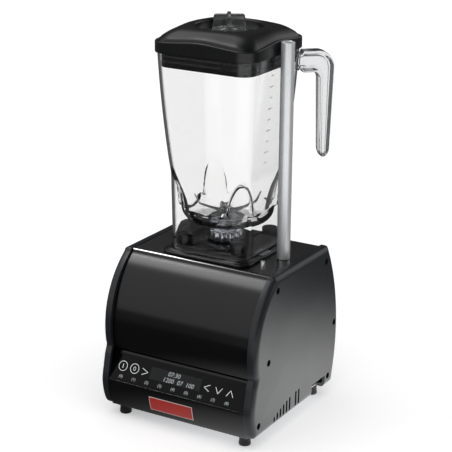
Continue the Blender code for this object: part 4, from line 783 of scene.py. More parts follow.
def badgePlate(inset, lift, thick):
    # a plate on the arc whose top falls off over the last 0.6 mm by 1 - s^2
    (cx, cz), (w, h) = badge["centre"], badge["size"]
    u, v = np.meshgrid(np.linspace(-0.5, 0.5, 40), np.linspace(-0.5, 0.5, 16), indexing="ij")
    x, z = cx + u * (w - 2 * inset), cz + v * (h - 2 * inset)
    edge = badge["soft"]
    soft = 1 - np.clip(np.maximum(abs(u) * (w - 2 * inset) - (w / 2 - inset - edge),
                                  abs(v) * (h - 2 * inset) - (h / 2 - inset - edge)) / edge, 0, 1) ** 2
    top = onLower(x, z, lift + thick * (0.5 + 0.5 * soft))
    under = onLower(x, z, lift + 0 * soft)
    face, facesTop = skin(top, closeColumns=False)
    back, facesBack = skin(under, closeColumns=False)
    rim = np.concatenate([np.arange(15), np.arange(15, 640, 16), np.arange(638, 623, -1), np.arange(608, 0, -16)])
    n = len(face)
    around = np.stack([rim, np.roll(rim, -1), np.roll(rim, -1) + n, rim + n], axis=-1)
    return np.vstack([face, back]), facesTop + [[v + n for v in f] for f in facesBack] + around.tolist()


addPiece("badgeRim", badgePlate(0.0, 0.0003, 0.00045), paleBorder, "base", ["badge_plate"])
addPiece("badgeFace", badgePlate(0.0007, 0.00045, 0.00050), redEnamel, "base")
print("feet, panel and badge made")

# directions round the jug's axis, shared by every rounded-square ring
angle = np.linspace(0, 2 * math.pi, 320, endpoint=False)
cornerShare = np.clip(0.5 - 0.5 * np.cos(4 * angle), 0, 1)          # 1 at the corners, 0 at mid-sides

seat = {"half": 61 * mm, "corner": 18 * mm, "flange": 3.4 * mm, "ear": 1.9 * mm, "block": 10.4 * mm,
        "blockHalf": 49.5 * mm, "blockCorner": 15.6 * mm, "hole": 23.5 * mm, "skirtHalf": 54.3 * mm,
        "beadCorner": 19.6 * mm, "grooveCorner": 19.3 * mm}


def seatShape():
    # rounded-square rings: flange, a low bead that rises at the corners, the groove under the jug, the block
    s, base = seat, deckTop + 0.0003
    ears = s["ear"] * cornerShare ** 3 + 0.0006
    outer = squareReach(s["half"], s["corner"], angle)
    bead = squareReach(s["skirtHalf"] + 0.0008, s["beadCorner"], angle)
    groove = squareReach(s["skirtHalf"], s["grooveCorner"], angle)
    blockReach = squareReach(s["blockHalf"], s["blockCorner"], angle)
    hole = np.full_like(angle, s["hole"])
    top = base + s["flange"]
    rows = [(hole, base), (outer - 0.0004, base), (outer, base + 0.0005), (outer, top - 0.0018),
            (outer - 0.0004, top - 0.0006), (outer - 0.0014, top), (outer - 0.0030, top + 0.0001),
            (outer - 0.0036, top + ears * 0.5), (bead + 0.0010, top + ears), (bead + 0.0003, top + ears),
            (groove, top + ears - 0.0006), (groove, top), (blockReach + 0.0002, top), (blockReach, top + 0.0004),
            (blockReach - 0.0004, base + s["block"] - 0.0012), (blockReach - 0.0008, base + s["block"] - 0.0004),
            (blockReach - 0.0016, base + s["block"]), (hole + 0.0008, base + s["block"]),
            (hole, base + s["block"] - 0.0008)]
    return skin(np.stack([ringGrid(reach, height, angle) for reach, height in rows]), closeRows=True)


addPiece("jugSeat", seatShape(), mouldedRubber, "base", ["centring_pad"], sharp=45)
cornerPost = {"place": 37 * mm, "radius": 9.5 * mm, "low": 213.9 * mm, "high": 226.2 * mm}
r, low, high = cornerPost["radius"], cornerPost["low"], cornerPost["high"]
profile = filletPath([(0.0001, low), (r, low), (r, high), (0.0001, high)], [0, 0, 0.0014, 0], 7)
cornerPosts = joined([moved(turn(profile, 64, closed=False), (x * cornerPost["place"], y * cornerPost["place"], 0))
                      for x in (-1, 1) for y in (-1, 1)])
addPiece("seatPosts", cornerPosts, mouldedRubber, "base")
tab = block((0.0058, 0.0200, 0.0010), (0.0572, -0.0060, deckTop + 0.0046), 0.0004)
addPiece("seatTab", tab, zincPlate, "base")

# post: drawn tube with a softened top and a shallow dished cap
r, top, low = postRadius, float(postHigh[2]), deckTop + 0.0003
profile = filletPath([(0.0001, top - 0.0006), (r - 0.0022, top - 0.0006), (r - 0.0016, top), (r, top), (r, low),
                      (0.0058, low), (0.0058, low - 0.014), (0.0001, low - 0.014)],
                     [0, 0.0004, 0.0004, 0.0007, 0.0003, 0, 0, 0], 5)
addPiece("sensorPost", moved(turn(profile, 96, closed=False), (postX, 0, 0)), anodisedTube, "base",
         ["sensor_post"])
top, r = float(pinHigh[2]), 2.7 * mm
profile = filletPath([(0.0001, top), (r, top), (r, deckTop - 0.0015), (0.0040, deckTop - 0.0015),
                      (0.0040, deckTop - 0.0035), (0.0016, deckTop - 0.0035), (0.0016, float(pinLow[2])),
                      (0.0001, float(pinLow[2]))], [0, 0.0009, 0, 0, 0.0003, 0, 0.0003, 0], 5)
addPiece("jugPlunger", moved(turn(profile, 48, closed=False), (pinX, pinY, 0)), polishedStainless, "plunger",
         ["interlock_pin"])
print("deck fittings made")

# jug: a rounded square that widens upwards, with a bowl and four ribs inside
jug = {"foot": float(jugLow[2]), "waist": 300 * mm, "top": float(jugHigh[2]), "footHalf": 53.3 * mm,
       "waistHalf": 54.8 * mm, "mouthHalf": 66.7 * mm, "corner": 19 * mm, "wall": 3.2 * mm, "floor": 243 * mm,
       "fillet": 14 * mm, "floorRadius": 38 * mm, "ribRadius": 17 * mm, "hole": 14.3 * mm}


def jugHalf(z):
    # half width at a height: straight to the waist, then waist + flare (1.5 t - 0.5 t^2), blended
    t = (z - jug["waist"]) / (jug["top"] - jug["waist"])
    low = jug["footHalf"] + (jug["waistHalf"] - jug["footHalf"]) * (z - jug["foot"]) / (jug["waist"] - jug["foot"])
    high = jug["waistHalf"] + (jug["mouthHalf"] - jug["waistHalf"]) * (1.5 * t - 0.5 * t * t)
    bend = smoothStep(-0.06, 0.10, t)
    return low * (1 - bend) + high * bend


def ribReach(z):
    # an upright bar of ribRadius standing in each corner, its crest leaning back as it rises:
    # crest = 47 + 20 climb^1.6, reach = c cos(a) - sqrt(R^2 - (c sin a)^2)
    climb = np.maximum(0, (z - 250 * mm) / (55 * mm))
    centre = 47 * mm + 20 * mm * climb ** 1.6 + jug["ribRadius"]
    slant = (angle % (math.pi / 2)) - math.pi / 4
    aside = centre * np.sin(slant)
    inside = np.maximum(jug["ribRadius"] ** 2 - aside ** 2, 0)
    return np.where(inside > 0, centre * np.cos(slant) - np.sqrt(inside), 0.2)


def bowlRows(grow):
    # floor fillet (z = floor + F - (F + g) cos, r = floorRadius + (F + g) sin), then the walls;
    # the least of basin, rib and wall, softened where they meet
    turnAngle = np.linspace(0, math.pi / 2, 14)[:, None]
    f = jug["fillet"] + grow
    z = np.vstack([jug["floor"] + jug["fillet"] - f * np.cos(turnAngle),
                   np.linspace(jug["floor"] + jug["fillet"] + 0.002, 0.307, 34)[:, None]])
    basin = np.vstack([jug["floorRadius"] + f * np.sin(turnAngle), np.full((34, 1), 0.2)])
    wall = squareReach(jugHalf(z) - jug["wall"], jug["corner"] - jug["wall"], angle)
    reach = softMin(softMin(wall, ribReach(z), 0.0030), basin - grow, 0.0030) + grow
    return np.broadcast_to(z, reach.shape), reach


def jugShape():
    # rings up the outside, over the rim, down the inside and bowl, then back under it and down the skirt
    j, w = jug, jug["wall"]
    zOut = np.r_[j["foot"] + 0.0008, np.linspace(j["foot"] + 0.004, j["top"] - 0.0012, 52)][:, None]
    outerReach = squareReach(jugHalf(zOut), j["corner"], angle)
    t = np.linspace(0, math.pi, 9)[1:-1, None]
    rimReach = squareReach(jugHalf(j["top"]) - w / 2, j["corner"] - w / 2, angle) + w / 2 * np.cos(t)
    rimHeight = j["top"] - 0.0012 + 0.0012 * np.sin(t) + 0 * angle
    zIn = np.linspace(j["top"] - 0.0012, 0.309, 36)[:, None]
    wallReach = squareReach(jugHalf(zIn) - w, j["corner"] - w, angle)
    wallReach = softMin(wallReach, ribReach(zIn), 0.0030)
    zBowl, reachBowl = bowlRows(0.0)
    floorRadius = np.array([0.030, 0.022, j["hole"]])[:, None] + 0 * angle
    zUnder, reachUnder = bowlRows(w)
    skirt = squareReach(jugHalf(zUnder) - w, j["corner"] - w, angle)
    meets = reachUnder >= skirt - 0.0002
    last = np.where(meets.any(0), meets.argmax(0), len(zUnder) - 1)      # where the bowl reaches the skirt
    row = np.minimum(np.arange(len(zUnder))[:, None], last)
    column = np.arange(len(angle))[None]
    zUnder, reachUnder = zUnder[row, column], np.minimum(reachUnder, skirt)[row, column]
    drop = np.linspace(0, 1, 24)[1:, None]
    zSkirt = zUnder[-1] + (j["foot"] + 0.0008 - zUnder[-1]) * drop
    skirtReach = squareReach(jugHalf(zSkirt) - w, j["corner"] - w, angle)
    footReach = squareReach(jugHalf(j["foot"]) - np.array([[w - 0.0008], [0.0008]]), j["corner"] - 0.001, angle)
    under = np.array([j["hole"], 0.022, 0.030])[:, None] + 0 * angle
    parts = [(outerReach, zOut), (rimReach, rimHeight), (wallReach, zIn), (reachBowl[::-1], zBowl[::-1]),
             (floorRadius, j["floor"] + 0 * floorRadius), (under, j["floor"] - w + 0 * under),
             (reachUnder, zUnder), (skirtReach, zSkirt), (footReach, j["foot"] + 0 * footReach)]
    return skin(np.concatenate([ringGrid(reach, height, angle) for reach, height in parts]), closeRows=True)


addPiece("jugShell", jugShape(), clearCopolyester, "jug", ["jug"], sharp=60)

handle = {"root": 83.6 * mm, "neck": 90.5 * mm, "reach": 129.4 * mm, "top": 445 * mm, "beam": 26.5 * mm,
          "grip": 19.5 * mm, "tip": 12.5 * mm, "end": 311.8 * mm, "width": 22 * mm, "outerBend": 21 * mm,
          "innerBend": 8 * mm}


def bentEdge(start, corner, end, radius, counts):
    # a straight run, a quarter turn and another run, each with its own number of points
    start, corner, end = (np.asarray(p, float) for p in (start, corner, end))
    u = (start - corner) / np.linalg.norm(start - corner)
    v = (end - corner) / np.linalg.norm(end - corner)
    a, b = corner + u * radius, corner + v * radius
    s = np.linspace(0, 1, counts[0], endpoint=False)[:, None]
    t = np.linspace(0, math.pi / 2, counts[1])[:, None]
    q = np.linspace(0, 1, counts[2] + 1)[1:, None]
    quarter = corner + u * radius * (1 - np.sin(t)) + v * radius * (1 - np.cos(t))
    return np.vstack([start + (a - start) * s, quarter, b + (end - b) * q])


def handleShape():
    # sections between an outer and an inner edge line, each a rounded oblong with dished flanks:
    # across = (|sin|^0.35 - dish) * half width, along = |cos|^0.35
    h = handle
    counts = (10, 22, 44)
    outer = bentEdge((h["neck"], h["top"]), (h["reach"], h["top"]), (h["reach"] - 0.0040, h["end"]),
                     h["outerBend"], counts)
    inner = bentEdge((h["neck"], h["top"] - h["beam"]), (h["reach"] - h["grip"], h["top"] - h["beam"]),
                     (h["reach"] - 0.0040 - h["tip"], h["end"]), h["innerBend"], counts)
    neck = np.array([[h["root"], 0.0085], [h["root"] + 0.0012, 0.0110], [h["root"] + 0.0030, 0.0085],
                     [h["root"] + 0.0050, 0.0098]])
    middle = (outer[0] + inner[0]) / 2
    outer = np.vstack([np.c_[neck[:, 0], middle[1] + neck[:, 1]], outer])
    inner = np.vstack([np.c_[neck[:, 0], middle[1] - neck[:, 1]], inner])
    count = len(outer)
    width = np.full(count, h["width"] / 2)
    width[:4] = [0.0060, 0.0078, 0.0060, 0.0080]
    width[4] = 0.0100
    width[-44:] *= np.linspace(1, 0.86, 44)
    size = np.ones(count)
    tipRows = np.linspace(0, 1, 6)
    size[-6:] = np.sqrt(1 - 0.92 * tipRows ** 2)
    centre, halfway = (outer + inner) / 2, (outer - inner) / 2 * size[:, None]
    t = np.linspace(0, 2 * math.pi, 56, endpoint=False)
    along = np.sign(np.cos(t)) * abs(np.cos(t)) ** 0.35
    dish = 0.22 * (1 - smoothStep(0.45, 0.85, abs(along)))
    across = np.sign(np.sin(t)) * (abs(np.sin(t)) ** 0.35 - dish * abs(np.sin(t)))
    flat = centre[:, None] + halfway[:, None] * along[None, :, None]
    side = (width * size)[:, None] * across[None]
    s = math.sqrt(0.5)
    grid = np.stack([flat[..., 0] * s - side * s, flat[..., 0] * s + side * s, flat[..., 1]], axis=-1)
    return skin(grid, capStart=True, capEnd=True)


addPiece("jugHandle", handleShape(), clearGrip, "jug", ["jug_handle"], sharp=60)

# moulded level ticks on the side beside the post
tickHeights = np.linspace(322 * mm, 428 * mm, 9)
ticks = [block((0.0007, 0.009 if k % 2 else 0.0055, 0.0009), (float(jugHalf(z)) + 0.0001, -0.0110, z), 0.0002)
         for k, z in enumerate(tickHeights)]
addPiece("levelTicks", joined(ticks), clearCopolyester, "jug")
print("jug made")

# soft lid, with the plug that fills the jug's mouth
lid = {"half": 69 * mm, "corner": 21 * mm, "foot": 450 * mm, "step": 465.6 * mm, "wave": 4.2 * mm,
       "top": 478.8 * mm, "plugFoot": 433 * mm, "well": 40.3 * mm, "floor": 468 * mm, "hole": 24.5 * mm,
       "rim": 459.3 * mm, "rimHalf": 67.2 * mm, "wall": 3.5 * mm}


def lidShape():
    # rounded-square rings: skirt, a step that dips at the corners, a crowned shoulder
    # (z = step + rise (1 - (1 - share)^2.4)), the well, the plug inside the jug, and back to the skirt
    l = lid
    plugHalf = float(jugHalf(l["plugFoot"])) - 3.7 * mm
    plugCorner = 15.3 * mm
    edge = squareReach(l["half"], l["corner"], angle)
    stepHeight = l["step"] + l["wave"] * (0.5 - cornerShare)
    rows = [(edge - 0.0004, l["foot"]), (edge, l["foot"] + 0.0005)]
    for share in np.linspace(0.1, 0.9, 7):
        rows.append((edge, l["foot"] + (stepHeight - l["foot"]) * share))
    for t in np.linspace(0, math.pi / 2, 8):
        rows.append((edge - 0.0018 * (1 - np.cos(t)), stepHeight - 0.0018 + 0.0018 * np.sin(t)))
    rows += [(edge - 0.0023, stepHeight - 0.0001), (edge - 0.0028, stepHeight - 0.0008)]
    inset = squareReach(l["half"] - 0.0030, l["corner"] - 0.002, angle)
    rows += [(inset - 0.0006, stepHeight - 0.0009), (inset - 0.0009, stepHeight + 0.0006)]
    well = np.full_like(angle, l["well"] + 0.0020)
    for share in np.linspace(0.0, 1.0, 15)[1:]:
        reach = (inset - 0.0010) * (1 - share) + well * share
        rise = (1 - (1 - share) ** 2.4) * (l["top"] - stepHeight - 0.0016)
        rows.append((reach, stepHeight + 0.0016 + rise))
    for t in np.linspace(0, math.pi / 2, 5)[1:]:
        rows.append((l["well"] + 0.0020 - 0.0020 * np.sin(t), l["top"] - 0.0020 * (1 - np.cos(t)) + 0 * angle))
    rows += [(well - 0.0022, l["floor"] + 0.0018), (well - 0.0036, l["floor"] + 0.0003),
             (well - 0.0052, l["floor"] + 0 * angle), (l["hole"] + 0.0060 + 0 * angle, l["floor"] + 0 * angle),
             (l["hole"] + 0.0052 + 0 * angle, l["floor"] - 0.0006 + 0 * angle),
             (l["hole"] + 0.0010 + 0 * angle, l["floor"] - 0.0006 + 0 * angle),
             (l["hole"] + 0 * angle, l["floor"] - 0.0014 + 0 * angle)]
    hollow = squareReach(plugHalf - l["wall"], plugCorner - 0.003, angle)
    under = l["floor"] - l["wall"]
    rows += [(l["hole"] + 0 * angle, under + 0 * angle), (hollow - 0.0010, under + 0 * angle),
             (hollow, under - 0.0010 + 0 * angle), (hollow, l["plugFoot"] + 0.0006 + 0 * angle)]
    plugReach = squareReach(plugHalf, plugCorner, angle)
    rows += [(hollow + 0.0006, l["plugFoot"] + 0 * angle), (plugReach - 0.0008, l["plugFoot"] + 0 * angle),
             (plugReach, l["plugFoot"] + 0.0008 + 0 * angle)]
    for k in range(3):                                       # three soft sealing ribs round the plug
        z = l["plugFoot"] + 0.0050 + 0.0062 * k
        for t in np.linspace(0, math.pi, 7):
            rows.append((plugReach + 0.0003 * np.sin(t), z + 0.0024 * t / math.pi + 0 * angle))
    rimReach = squareReach(l["rimHalf"], l["corner"] - 0.002, angle)
    plugTop = squareReach(plugHalf + 0.0002, plugCorner, angle)
    rows += [(plugTop, l["rim"] + 0 * angle), (rimReach, l["rim"] + 0 * angle),
             (rimReach, l["foot"] + 0.0006 + 0 * angle), (rimReach + 0.0004, l["foot"] + 0 * angle)]
    return skin(np.stack([ringGrid(reach, height, angle) for reach, height in rows]), closeRows=True)


addPiece("jugLid", lidShape(), softElastomer, "lid", ["lid"], sharp=50)

stopper = {"radius": 24 * mm, "flange": 30 * mm, "foot": 447 * mm, "seat": 468.3 * mm, "top": 491.5 * mm,
           "wall": 2.5 * mm, "wing": 19.5 * mm, "wingThick": 6 * mm, "turned": 32}


def stopperShape():
    # a turned cup under a flange, and the winged grip on top
    s = stopper
    r, inner, plate = s["radius"], s["radius"] - s["wall"], s["seat"] + 3.4 * mm
    cup = turn(filletPath([(0.0001, plate), (s["flange"], plate), (s["flange"], s["seat"]), (r, s["seat"]),
                           (r, s["foot"]), (inner, s["foot"]), (inner, s["seat"] - 0.002),
                           (0.0001, s["seat"] - 0.002)],
                          [0, 0.0011, 0.0008, 0.0008, 0.0008, 0.0006, 0.003, 0], 6), 128, closed=False)
    # four wings as one rounded cross: reach = lesser of length / cos a and thickness / sin a, softened
    height = np.r_[plate - 0.0006, np.linspace(plate + 0.0016, s["top"] - 0.0030, 8),
                   s["top"] - 0.0030 * (1 - np.sin(np.linspace(0.25, math.pi / 2, 6)))][:, None]
    climb = (height - plate) / (s["top"] - plate)
    turned = angle - math.radians(s["turned"])
    fold = abs(((turned + math.pi / 4) % (math.pi / 2)) - math.pi / 4)
    cap = np.sqrt(np.maximum(1 - np.clip((height - s["top"] + 0.0034) / 0.0034, 0, 1) ** 2, 0.0))
    length = (s["wing"] - 0.0012 * climb) * (0.86 + 0.14 * cap)
    thick = (s["wingThick"] / 2 - 0.0004 * climb) * (0.45 + 0.55 * cap)
    endReach = length / np.maximum(np.cos(fold), 0.2)
    sideReach = thick / np.maximum(np.sin(fold), 1e-3)
    reach = softMin(endReach, sideReach, 0.0018) + 0.0022 * np.exp(-climb * 9)
    cross = skin(ringGrid(reach, height, angle), capStart=True, capEnd=True)
    return joined([cup, cross])


addPiece("lidStopper", stopperShape(), clearStopper, "plug", ["lid_plug"], sharp=60)
print("lid and stopper made")

# blades: side views of the two bent strips, and how far each is turned about the axis
knife = {"width": 11 * mm, "thickness": 1.6 * mm,
         "upper": ((-0.0395, 0.2736), (-0.0335, 0.2611), (-0.0090, 0.2521), (0.0090, 0.2521),
                   (0.0335, 0.2611), (0.0395, 0.2736)),
         "lower": ((-0.0370, 0.2510), (-0.0240, 0.2478), (-0.0115, 0.2500), (0.0115, 0.2500),
                   (0.0240, 0.2478), (0.0370, 0.2510)), "upperTurn": 40, "lowerTurn": 130}


def bladeShape(path, turned):
    # a strip along the path with bevelled edges, narrowing at both ends:
    # half width = w/2 (1 - 0.72 s^7) less a step of 0.8 mm, s = share of the way from middle to end
    k = knife
    line = filletPath(path, 0.004, 7)
    reach = np.r_[0, np.cumsum(np.linalg.norm(np.diff(line, axis=0), axis=1))]
    at = np.linspace(0, reach[-1], 61)
    line = np.stack([np.interp(at, reach, line[:, 0]), np.interp(at, reach, line[:, 1])], axis=-1)
    step = np.gradient(line, axis=0)
    step /= np.linalg.norm(step, axis=1)[:, None]
    normal = np.stack([-step[:, 1], step[:, 0]], axis=-1)
    s = abs(2 * at / reach[-1] - 1)
    half = k["width"] / 2 * (1 - 0.72 * s ** 7) - 0.0008 * smoothStep(0.3, 0.8, s)
    bevel = 0.35 * smoothStep(0.25, 0.45, s)
    t = k["thickness"] / 2
    spots = ((-1, -0.15, 0), (-1, 0.15, 0), (-0.45, 1, 1), (0.45, 1, 1), (1, 0.15, 0), (1, -0.15, 0),
             (0.45, -1, 1), (-0.45, -1, 1))
    rings = []
    for across, up, flat in spots:
        share = np.full(len(at), up) if flat else np.clip(up * (1 - bevel) * 6 / (1 + 5 * bevel), -1, 1)
        place = line + normal * (t * share)[:, None]
        rings.append(np.stack([place[:, 0], across * half, place[:, 1]], axis=-1))
    grid = np.stack(rings, axis=1)
    points, faces = skin(grid, capStart=True, capEnd=True)
    spin = np.array(Matrix.Rotation(math.radians(turned), 3, "Z"))
    return points @ spin.T, faces


k = knife
addPiece("upperBlade", bladeShape(k["upper"], k["upperTurn"]), polishedStainless, "blade_set", ["blade_upper"],
         sharp=20)
addPiece("lowerBlade", bladeShape(k["lower"], k["lowerTurn"]), polishedStainless, "blade_set", ["blade_lower"],
         sharp=20)

# hexagon nut with chamfered corners over a washer face: reach = half flats / cos of the angle to a flat
hexNut = {"halfFlats": 6.75 * mm, "bore": 4.0 * mm, "washer": 6.6 * mm}
turnAngle = np.linspace(0, 2 * math.pi, 96, endpoint=False)
hexReach = hexNut["halfFlats"] / np.cos((turnAngle % (math.pi / 3)) - math.pi / 6)
bore, washer = hexNut["bore"], hexNut["washer"]
rows = [(bore, 254.1), (washer, 254.1), (washer + 0.0003, 254.3), (hexReach, 254.35), (hexReach, 258.3),
        (np.minimum(hexReach, 0.0072), 258.8), (np.minimum(hexReach, washer), 259.1), (bore + 0.0005, 259.1),
        (bore, 258.7)]
nut = skin(np.stack([ringGrid(reach, height * mm, turnAngle) for reach, height in rows]), closeRows=True)
addPiece("bladeNut", nut, polishedStainless, "blade_set", ["blade_nut"])
low, high = boxOf("blade_shaft")
profile = filletPath([(0.0001, high[2]), (0.0040, high[2]), (0.0040, low[2]), (0.0001, low[2])],
                     [0, 0.0008, 0.0005, 0], 5)
addPiece("bladeSpindle", turn(profile, 64, closed=False), polishedStainless, "blade_set", ["blade_shaft"])

# bearing housing: a flange on the bowl's floor, a domed boss, the threaded body below
low, high = boxOf("bearing_housing")
profile = filletPath([(0.0048, float(high[2])), (0.0085, float(high[2])), (0.0130, 0.2455), (0.0200, 0.2455),
                      (0.0200, 0.2433), (0.0140, 0.2433), (0.0140, float(low[2])), (0.0118, float(low[2])),
                      (0.0118, 0.2380), (0.0048, 0.2380)],
                     [0.0004, 0.0012, 0.0010, 0.0008, 0.0005, 0, 0.0006, 0.0004, 0.0004, 0.0004], 5, closed=True)
addPiece("bearingHousing", turn(profile, 128), polishedStainless, "jug", ["bearing_housing"])


hub = {"bore": 14.3 * mm, "outer": 21.0 * mm, "collar": 17.5 * mm, "foot": 212.3 * mm, "shoulder": 227.8 * mm,
       "top": 239.4 * mm, "flutes": 12, "depth": 2.6 * mm}


def nutShape():
    # a round nut with hollow flutes: r = R - depth (0.5 + 0.5 cos(flutes * a))^1.6
    turnAngle = np.linspace(0, 2 * math.pi, 384, endpoint=False)
    h, level = hub, 0 * turnAngle
    flute = h["depth"] * (0.5 + 0.5 * np.cos(h["flutes"] * turnAngle)) ** 1.6
    drops = ((212.3, 0.0010), (212.8, 0.0003), (213.6, 0), (226.6, 0), (227.5, 0.0004), (227.8, 0.0012))
    rows = [(h["bore"] + level, h["foot"])]
    rows += [(h["outer"] - flute - drop, height * mm) for height, drop in drops]
    rows += [(h["collar"] + 0.0004 + level, h["shoulder"]), (h["collar"] + level, h["shoulder"] + 0.0004),
             (h["collar"] + level, h["top"] - 0.0005), (h["collar"] - 0.0004 + level, h["top"]),
             (h["bore"] + level, h["top"])]
    return skin(np.stack([ringGrid(reach, height, turnAngle) for reach, height in rows]), closeRows=True)


addPiece("hubNut", nutShape(), brightNickel, "jug", ["retaining_nut"], sharp=45)
print("blades and hub made")

# nodes that keep their own shape get a finish only
kept = {
    "zincPlatedSteel": (zincPlate, ["end_plate_left", "end_plate_right", "base_plate", "post_nut"]),
    "springSteel": (polishedStainless, ["pin_spring", "motor_shaft", "upper_bearing", "lower_bearing",
                                        "blade_bearing"]),
    "laminations": (stackedSteel, ["motor_stator", "armature"]),
    "winding": (wireCopper, ["field_winding", "commutator"]),
    "castings": (castAlloy, ["upper_bracket", "lower_bracket"]),
    "carbon": (pressedCarbon, ["brush_left", "brush_right"]),
    "nylon": (mouldedNylon, ["cooling_fan", "drive_socket", "driven_coupling"]),
    "board": (boardLacquer, ["control_board"]),
    "seal": (mouldedRubber, ["shaft_seal"])}
dressed = set()
for material, names in kept.values():
    for name in names:
        for place in bpy.data.objects[name].material_slots:
            place.material = material
        dressed.add(name)

# matt painted floor; gloss sees on it only a pool of light beside the right cover and a far band ahead
reach = 30
floorCorners = [(-reach, -reach, 0), (reach, -reach, 0), (reach, reach, 0), (-reach, reach, 0)]
floor = bpy.data.objects.new("floor", makeMesh("floor", floorCorners, [[0, 1, 2, 3]]))
floorPaint, tree, shader = startMaterial("paintedFloor", {"Roughness": 0.9, "Specular IOR Level": 0.0,
                                                          "Emission Color": (1, 1, 1, 1),
                                                          "Emission Strength": 0.35})
place = addNode(tree, "ShaderNodeTexCoord")
mottle = addNode(tree, "ShaderNodeTexNoise", {"Scale": 3.0}, {"Vector": place.outputs["Object"]})
tint = addNode(tree, "ShaderNodeValToRGB", None, {"Fac": mottle.outputs["Fac"]})
tint.color_ramp.elements[0].color = srgb("#f4f4f4")
tint.color_ramp.elements[1].color = srgb("#f7f7f7")
tree.links.new(tint.outputs["Color"], shader.inputs["Base Color"])
centred = addNode(tree, "ShaderNodeVectorMath", {"operation": "DISTANCE", 1: (0.22, 0.08, 0)},
                  {0: place.outputs["Object"]})
pool = addNode(tree, "ShaderNodeMapRange", {"interpolation_type": "SMOOTHSTEP", "From Min": 0.42,
                                             "From Max": 0.02, "To Min": 0.02, "To Max": 2.1},
               {"Value": centred.outputs["Value"]})
fromMiddle = addNode(tree, "ShaderNodeVectorMath", {"operation": "LENGTH"}, {0: place.outputs["Object"]})
ring = addNode(tree, "ShaderNodeMapRange", {"interpolation_type": "SMOOTHSTEP", "From Min": 0.55,
                                             "From Max": 0.80, "To Min": 0.0, "To Max": 1.0},
               {"Value": fromMiddle.outputs["Value"]})
heading = addNode(tree, "ShaderNodeVectorMath", {"operation": "NORMALIZE"}, {0: place.outputs["Object"]})
toFront = addNode(tree, "ShaderNodeVectorMath", {"operation": "DOT_PRODUCT", 1: (0.62, -0.78, 0)},
                  {0: heading.outputs["Vector"]})
sector = addNode(tree, "ShaderNodeMapRange", {"interpolation_type": "SMOOTHSTEP", "From Min": 0.45,
                                               "From Max": 0.90, "To Min": 0.10, "To Max": 1.1},
                 {"Value": toFront.outputs["Value"]})
band = addNode(tree, "ShaderNodeMath", {"operation": "MULTIPLY"},
               {0: ring.outputs["Result"], 1: sector.outputs["Result"]})
bright = addNode(tree, "ShaderNodeMath", {"operation": "ADD"},
                 {0: pool.outputs["Result"], 1: band.outputs["Value"]})
glow = addNode(tree, "ShaderNodeEmission", None, {"Strength": bright.outputs["Value"]})
ray = addNode(tree, "ShaderNodeLightPath")
mirrorOnly = addNode(tree, "ShaderNodeMath", {"operation": "MINIMUM", 1: 1.0}, {0: ray.outputs["Glossy Depth"]})
choice = addNode(tree, "ShaderNodeMixShader", None, {0: mirrorOnly.outputs["Value"], 1: shader.outputs["BSDF"],
                                                     2: glow.outputs["Emission"]})
tree.links.new(choice.outputs["Shader"], tree.nodes["Material Output"].inputs["Surface"])
floor.data.materials.append(floorPaint)
bpy.context.scene.collection.objects.link(floor)

light = {"sun": 1.25, "sunAngle": 80, "backdrop": 1.0, "fill": 0.38, "strip": 120.0, "stripSize": (0.6, 1.5),
         "stripWay": (-0.48, 0.29, 0.83), "stripAway": 1.6, "stripRise": 0.18}
sun = bpy.data.objects.new("keyLight", bpy.data.lights.new("keyLight", "SUN"))
sun.data.energy = light["sun"]
sun.data.angle = math.radians(light["sunAngle"])
sun.rotation_euler = Vector((0.25, -0.35, 1.0)).to_track_quat("Z", "Y").to_euler()
sun.visible_glossy = False
bpy.context.scene.collection.objects.link(sun)

# a strip lamp high behind the left, for the folded sheets' edges only
strip = bpy.data.objects.new("stripLamp", bpy.data.lights.new("stripLamp", "AREA"))
strip.data.shape = "RECTANGLE"
strip.data.size, strip.data.size_y = light["stripSize"]
strip.data.energy = light["strip"]
strip.location = Vector(light["stripWay"]) * light["stripAway"] + Vector((0, 0, light["stripRise"]))
strip.rotation_euler = Vector(light["stripWay"]).to_track_quat("Z", "X").to_euler()
strip.visible_camera = strip.visible_transmission = strip.visible_diffuse = False
bpy.context.scene.collection.objects.link(strip)
sheets = bpy.data.collections.new("foldedSheets")
for piece in (wrapSheet, lowerSheet, highlightWirePiece):
    sheets.objects.link(piece)
strip.light_linking.receiver_collection = sheets

world = bpy.data.worlds.new("studio")
bpy.context.scene.world = world
world.use_nodes = True
tree = world.node_tree
tree.nodes.clear()
incoming = addNode(tree, "ShaderNodeTexCoord")


def patch(direction, spread, soft, strength):
    # a soft round light seen in one direction: strength * smooth step of the cosine to its middle
    direction = Vector(direction).normalized()
    near = addNode(tree, "ShaderNodeVectorMath", {"operation": "DOT_PRODUCT", 1: direction},
                   {0: incoming.outputs["Generated"]})
    edge = addNode(tree, "ShaderNodeMapRange", {
        "interpolation_type": "SMOOTHSTEP", "From Min": math.cos(math.radians(spread + soft)),
        "From Max": math.cos(math.radians(spread)), "To Min": 0.0, "To Max": strength},
        {"Value": near.outputs["Value"]})
    return edge.outputs["Result"]


def together(outputs, operation="ADD"):
    # several outputs joined by one operation
    total = outputs[0]
    for output in outputs[1:]:
        total = addNode(tree, "ShaderNodeMath", {"operation": operation}, {0: total, 1: output}).outputs["Value"]
    return total


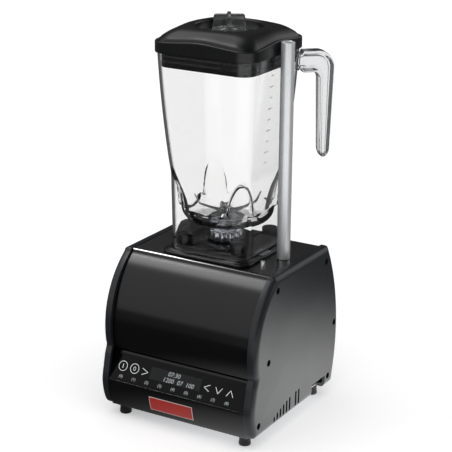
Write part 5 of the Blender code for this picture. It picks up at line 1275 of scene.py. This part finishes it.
# softboxes by direction from the object: front left wide, back left high, left high small, right behind
seen = together([patch((-0.48, -0.60, 0.42), 38, 28, 0.62), patch((-0.48, 0.29, 0.83), 12, 12, 1.1),
                 patch((-0.48, -0.20, 0.85), 7, 6, 3.5), patch((0.55, 0.80, 0.15), 20, 25, 0.8)])
height = addNode(tree, "ShaderNodeSeparateXYZ", None, {0: incoming.outputs["Generated"]})
above = addNode(tree, "ShaderNodeMapRange", {"interpolation_type": "SMOOTHSTEP", "From Min": -0.10,
                                              "From Max": 0.60, "To Min": 0.02, "To Max": 0.10},
                {"Value": height.outputs["Z"]})
mirrored = together([seen, above.outputs["Result"]])
ray = addNode(tree, "ShaderNodeLightPath")
level = addNode(tree, "ShaderNodeMapRange", {"interpolation_type": "SMOOTHSTEP", "From Min": 0.30,
                                              "From Max": 0.05, "To Min": 0.0, "To Max": 1.0},
                {"Value": height.outputs["Z"]})
unmirrored = addNode(tree, "ShaderNodeMath", {"operation": "LESS_THAN", 1: 0.5}, {0: ray.outputs["Glossy Depth"]})
through = together([ray.outputs["Is Transmission Ray"], unmirrored.outputs["Value"], level.outputs["Result"]],
                   "MULTIPLY")
straight = together([ray.outputs["Is Camera Ray"], through], "MAXIMUM")
diffuse = addNode(tree, "ShaderNodeMix", {"data_type": "FLOAT", "B": light["fill"]},
                  {"Factor": ray.outputs["Is Diffuse Ray"], "A": mirrored})
strength = addNode(tree, "ShaderNodeMix", {"data_type": "FLOAT", "B": light["backdrop"]},
                   {"Factor": straight, "A": diffuse.outputs["Result"]})
sky = addNode(tree, "ShaderNodeBackground", {"Color": (1, 1, 1, 1)}, {"Strength": strength.outputs["Result"]})
addNode(tree, "ShaderNodeOutputWorld", None, {"Surface": sky.outputs["Background"]})

scene = bpy.context.scene
scene.view_settings.view_transform = "Standard"
scene.cycles.max_bounces = 24
scene.cycles.transmission_bounces = 24
scene.cycles.transparent_max_bounces = 24

# camera: azimuth from -Y towards +X, pitch down, a slight roll
view = {"place": (0.8797, -1.5029 + axisY, 0.8045), "azimuth": 30.39, "pitch": 18.25, "roll": 0.59, "lens": 119.47}
azimuth, pitch, roll = (math.radians(view[key]) for key in ("azimuth", "pitch", "roll"))
ahead = Vector((-math.sin(azimuth) * math.cos(pitch), math.cos(azimuth) * math.cos(pitch), -math.sin(pitch)))
right = Vector((math.cos(azimuth), math.sin(azimuth), 0))
upward = right.cross(ahead)
sideAxis = right * math.cos(roll) + upward * math.sin(roll)
upright = upward * math.cos(roll) - right * math.sin(roll)
camera = bpy.data.objects.new("camera", bpy.data.cameras.new("camera"))
camera.matrix_world = Matrix((sideAxis, upright, -ahead)).transposed().to_4x4()
camera.location = view["place"]
camera.data.lens = view["lens"]
camera.data.clip_end = 100
scene.collection.objects.link(camera)
scene.camera = camera
print("stage made")

bpy.context.view_layer.update()
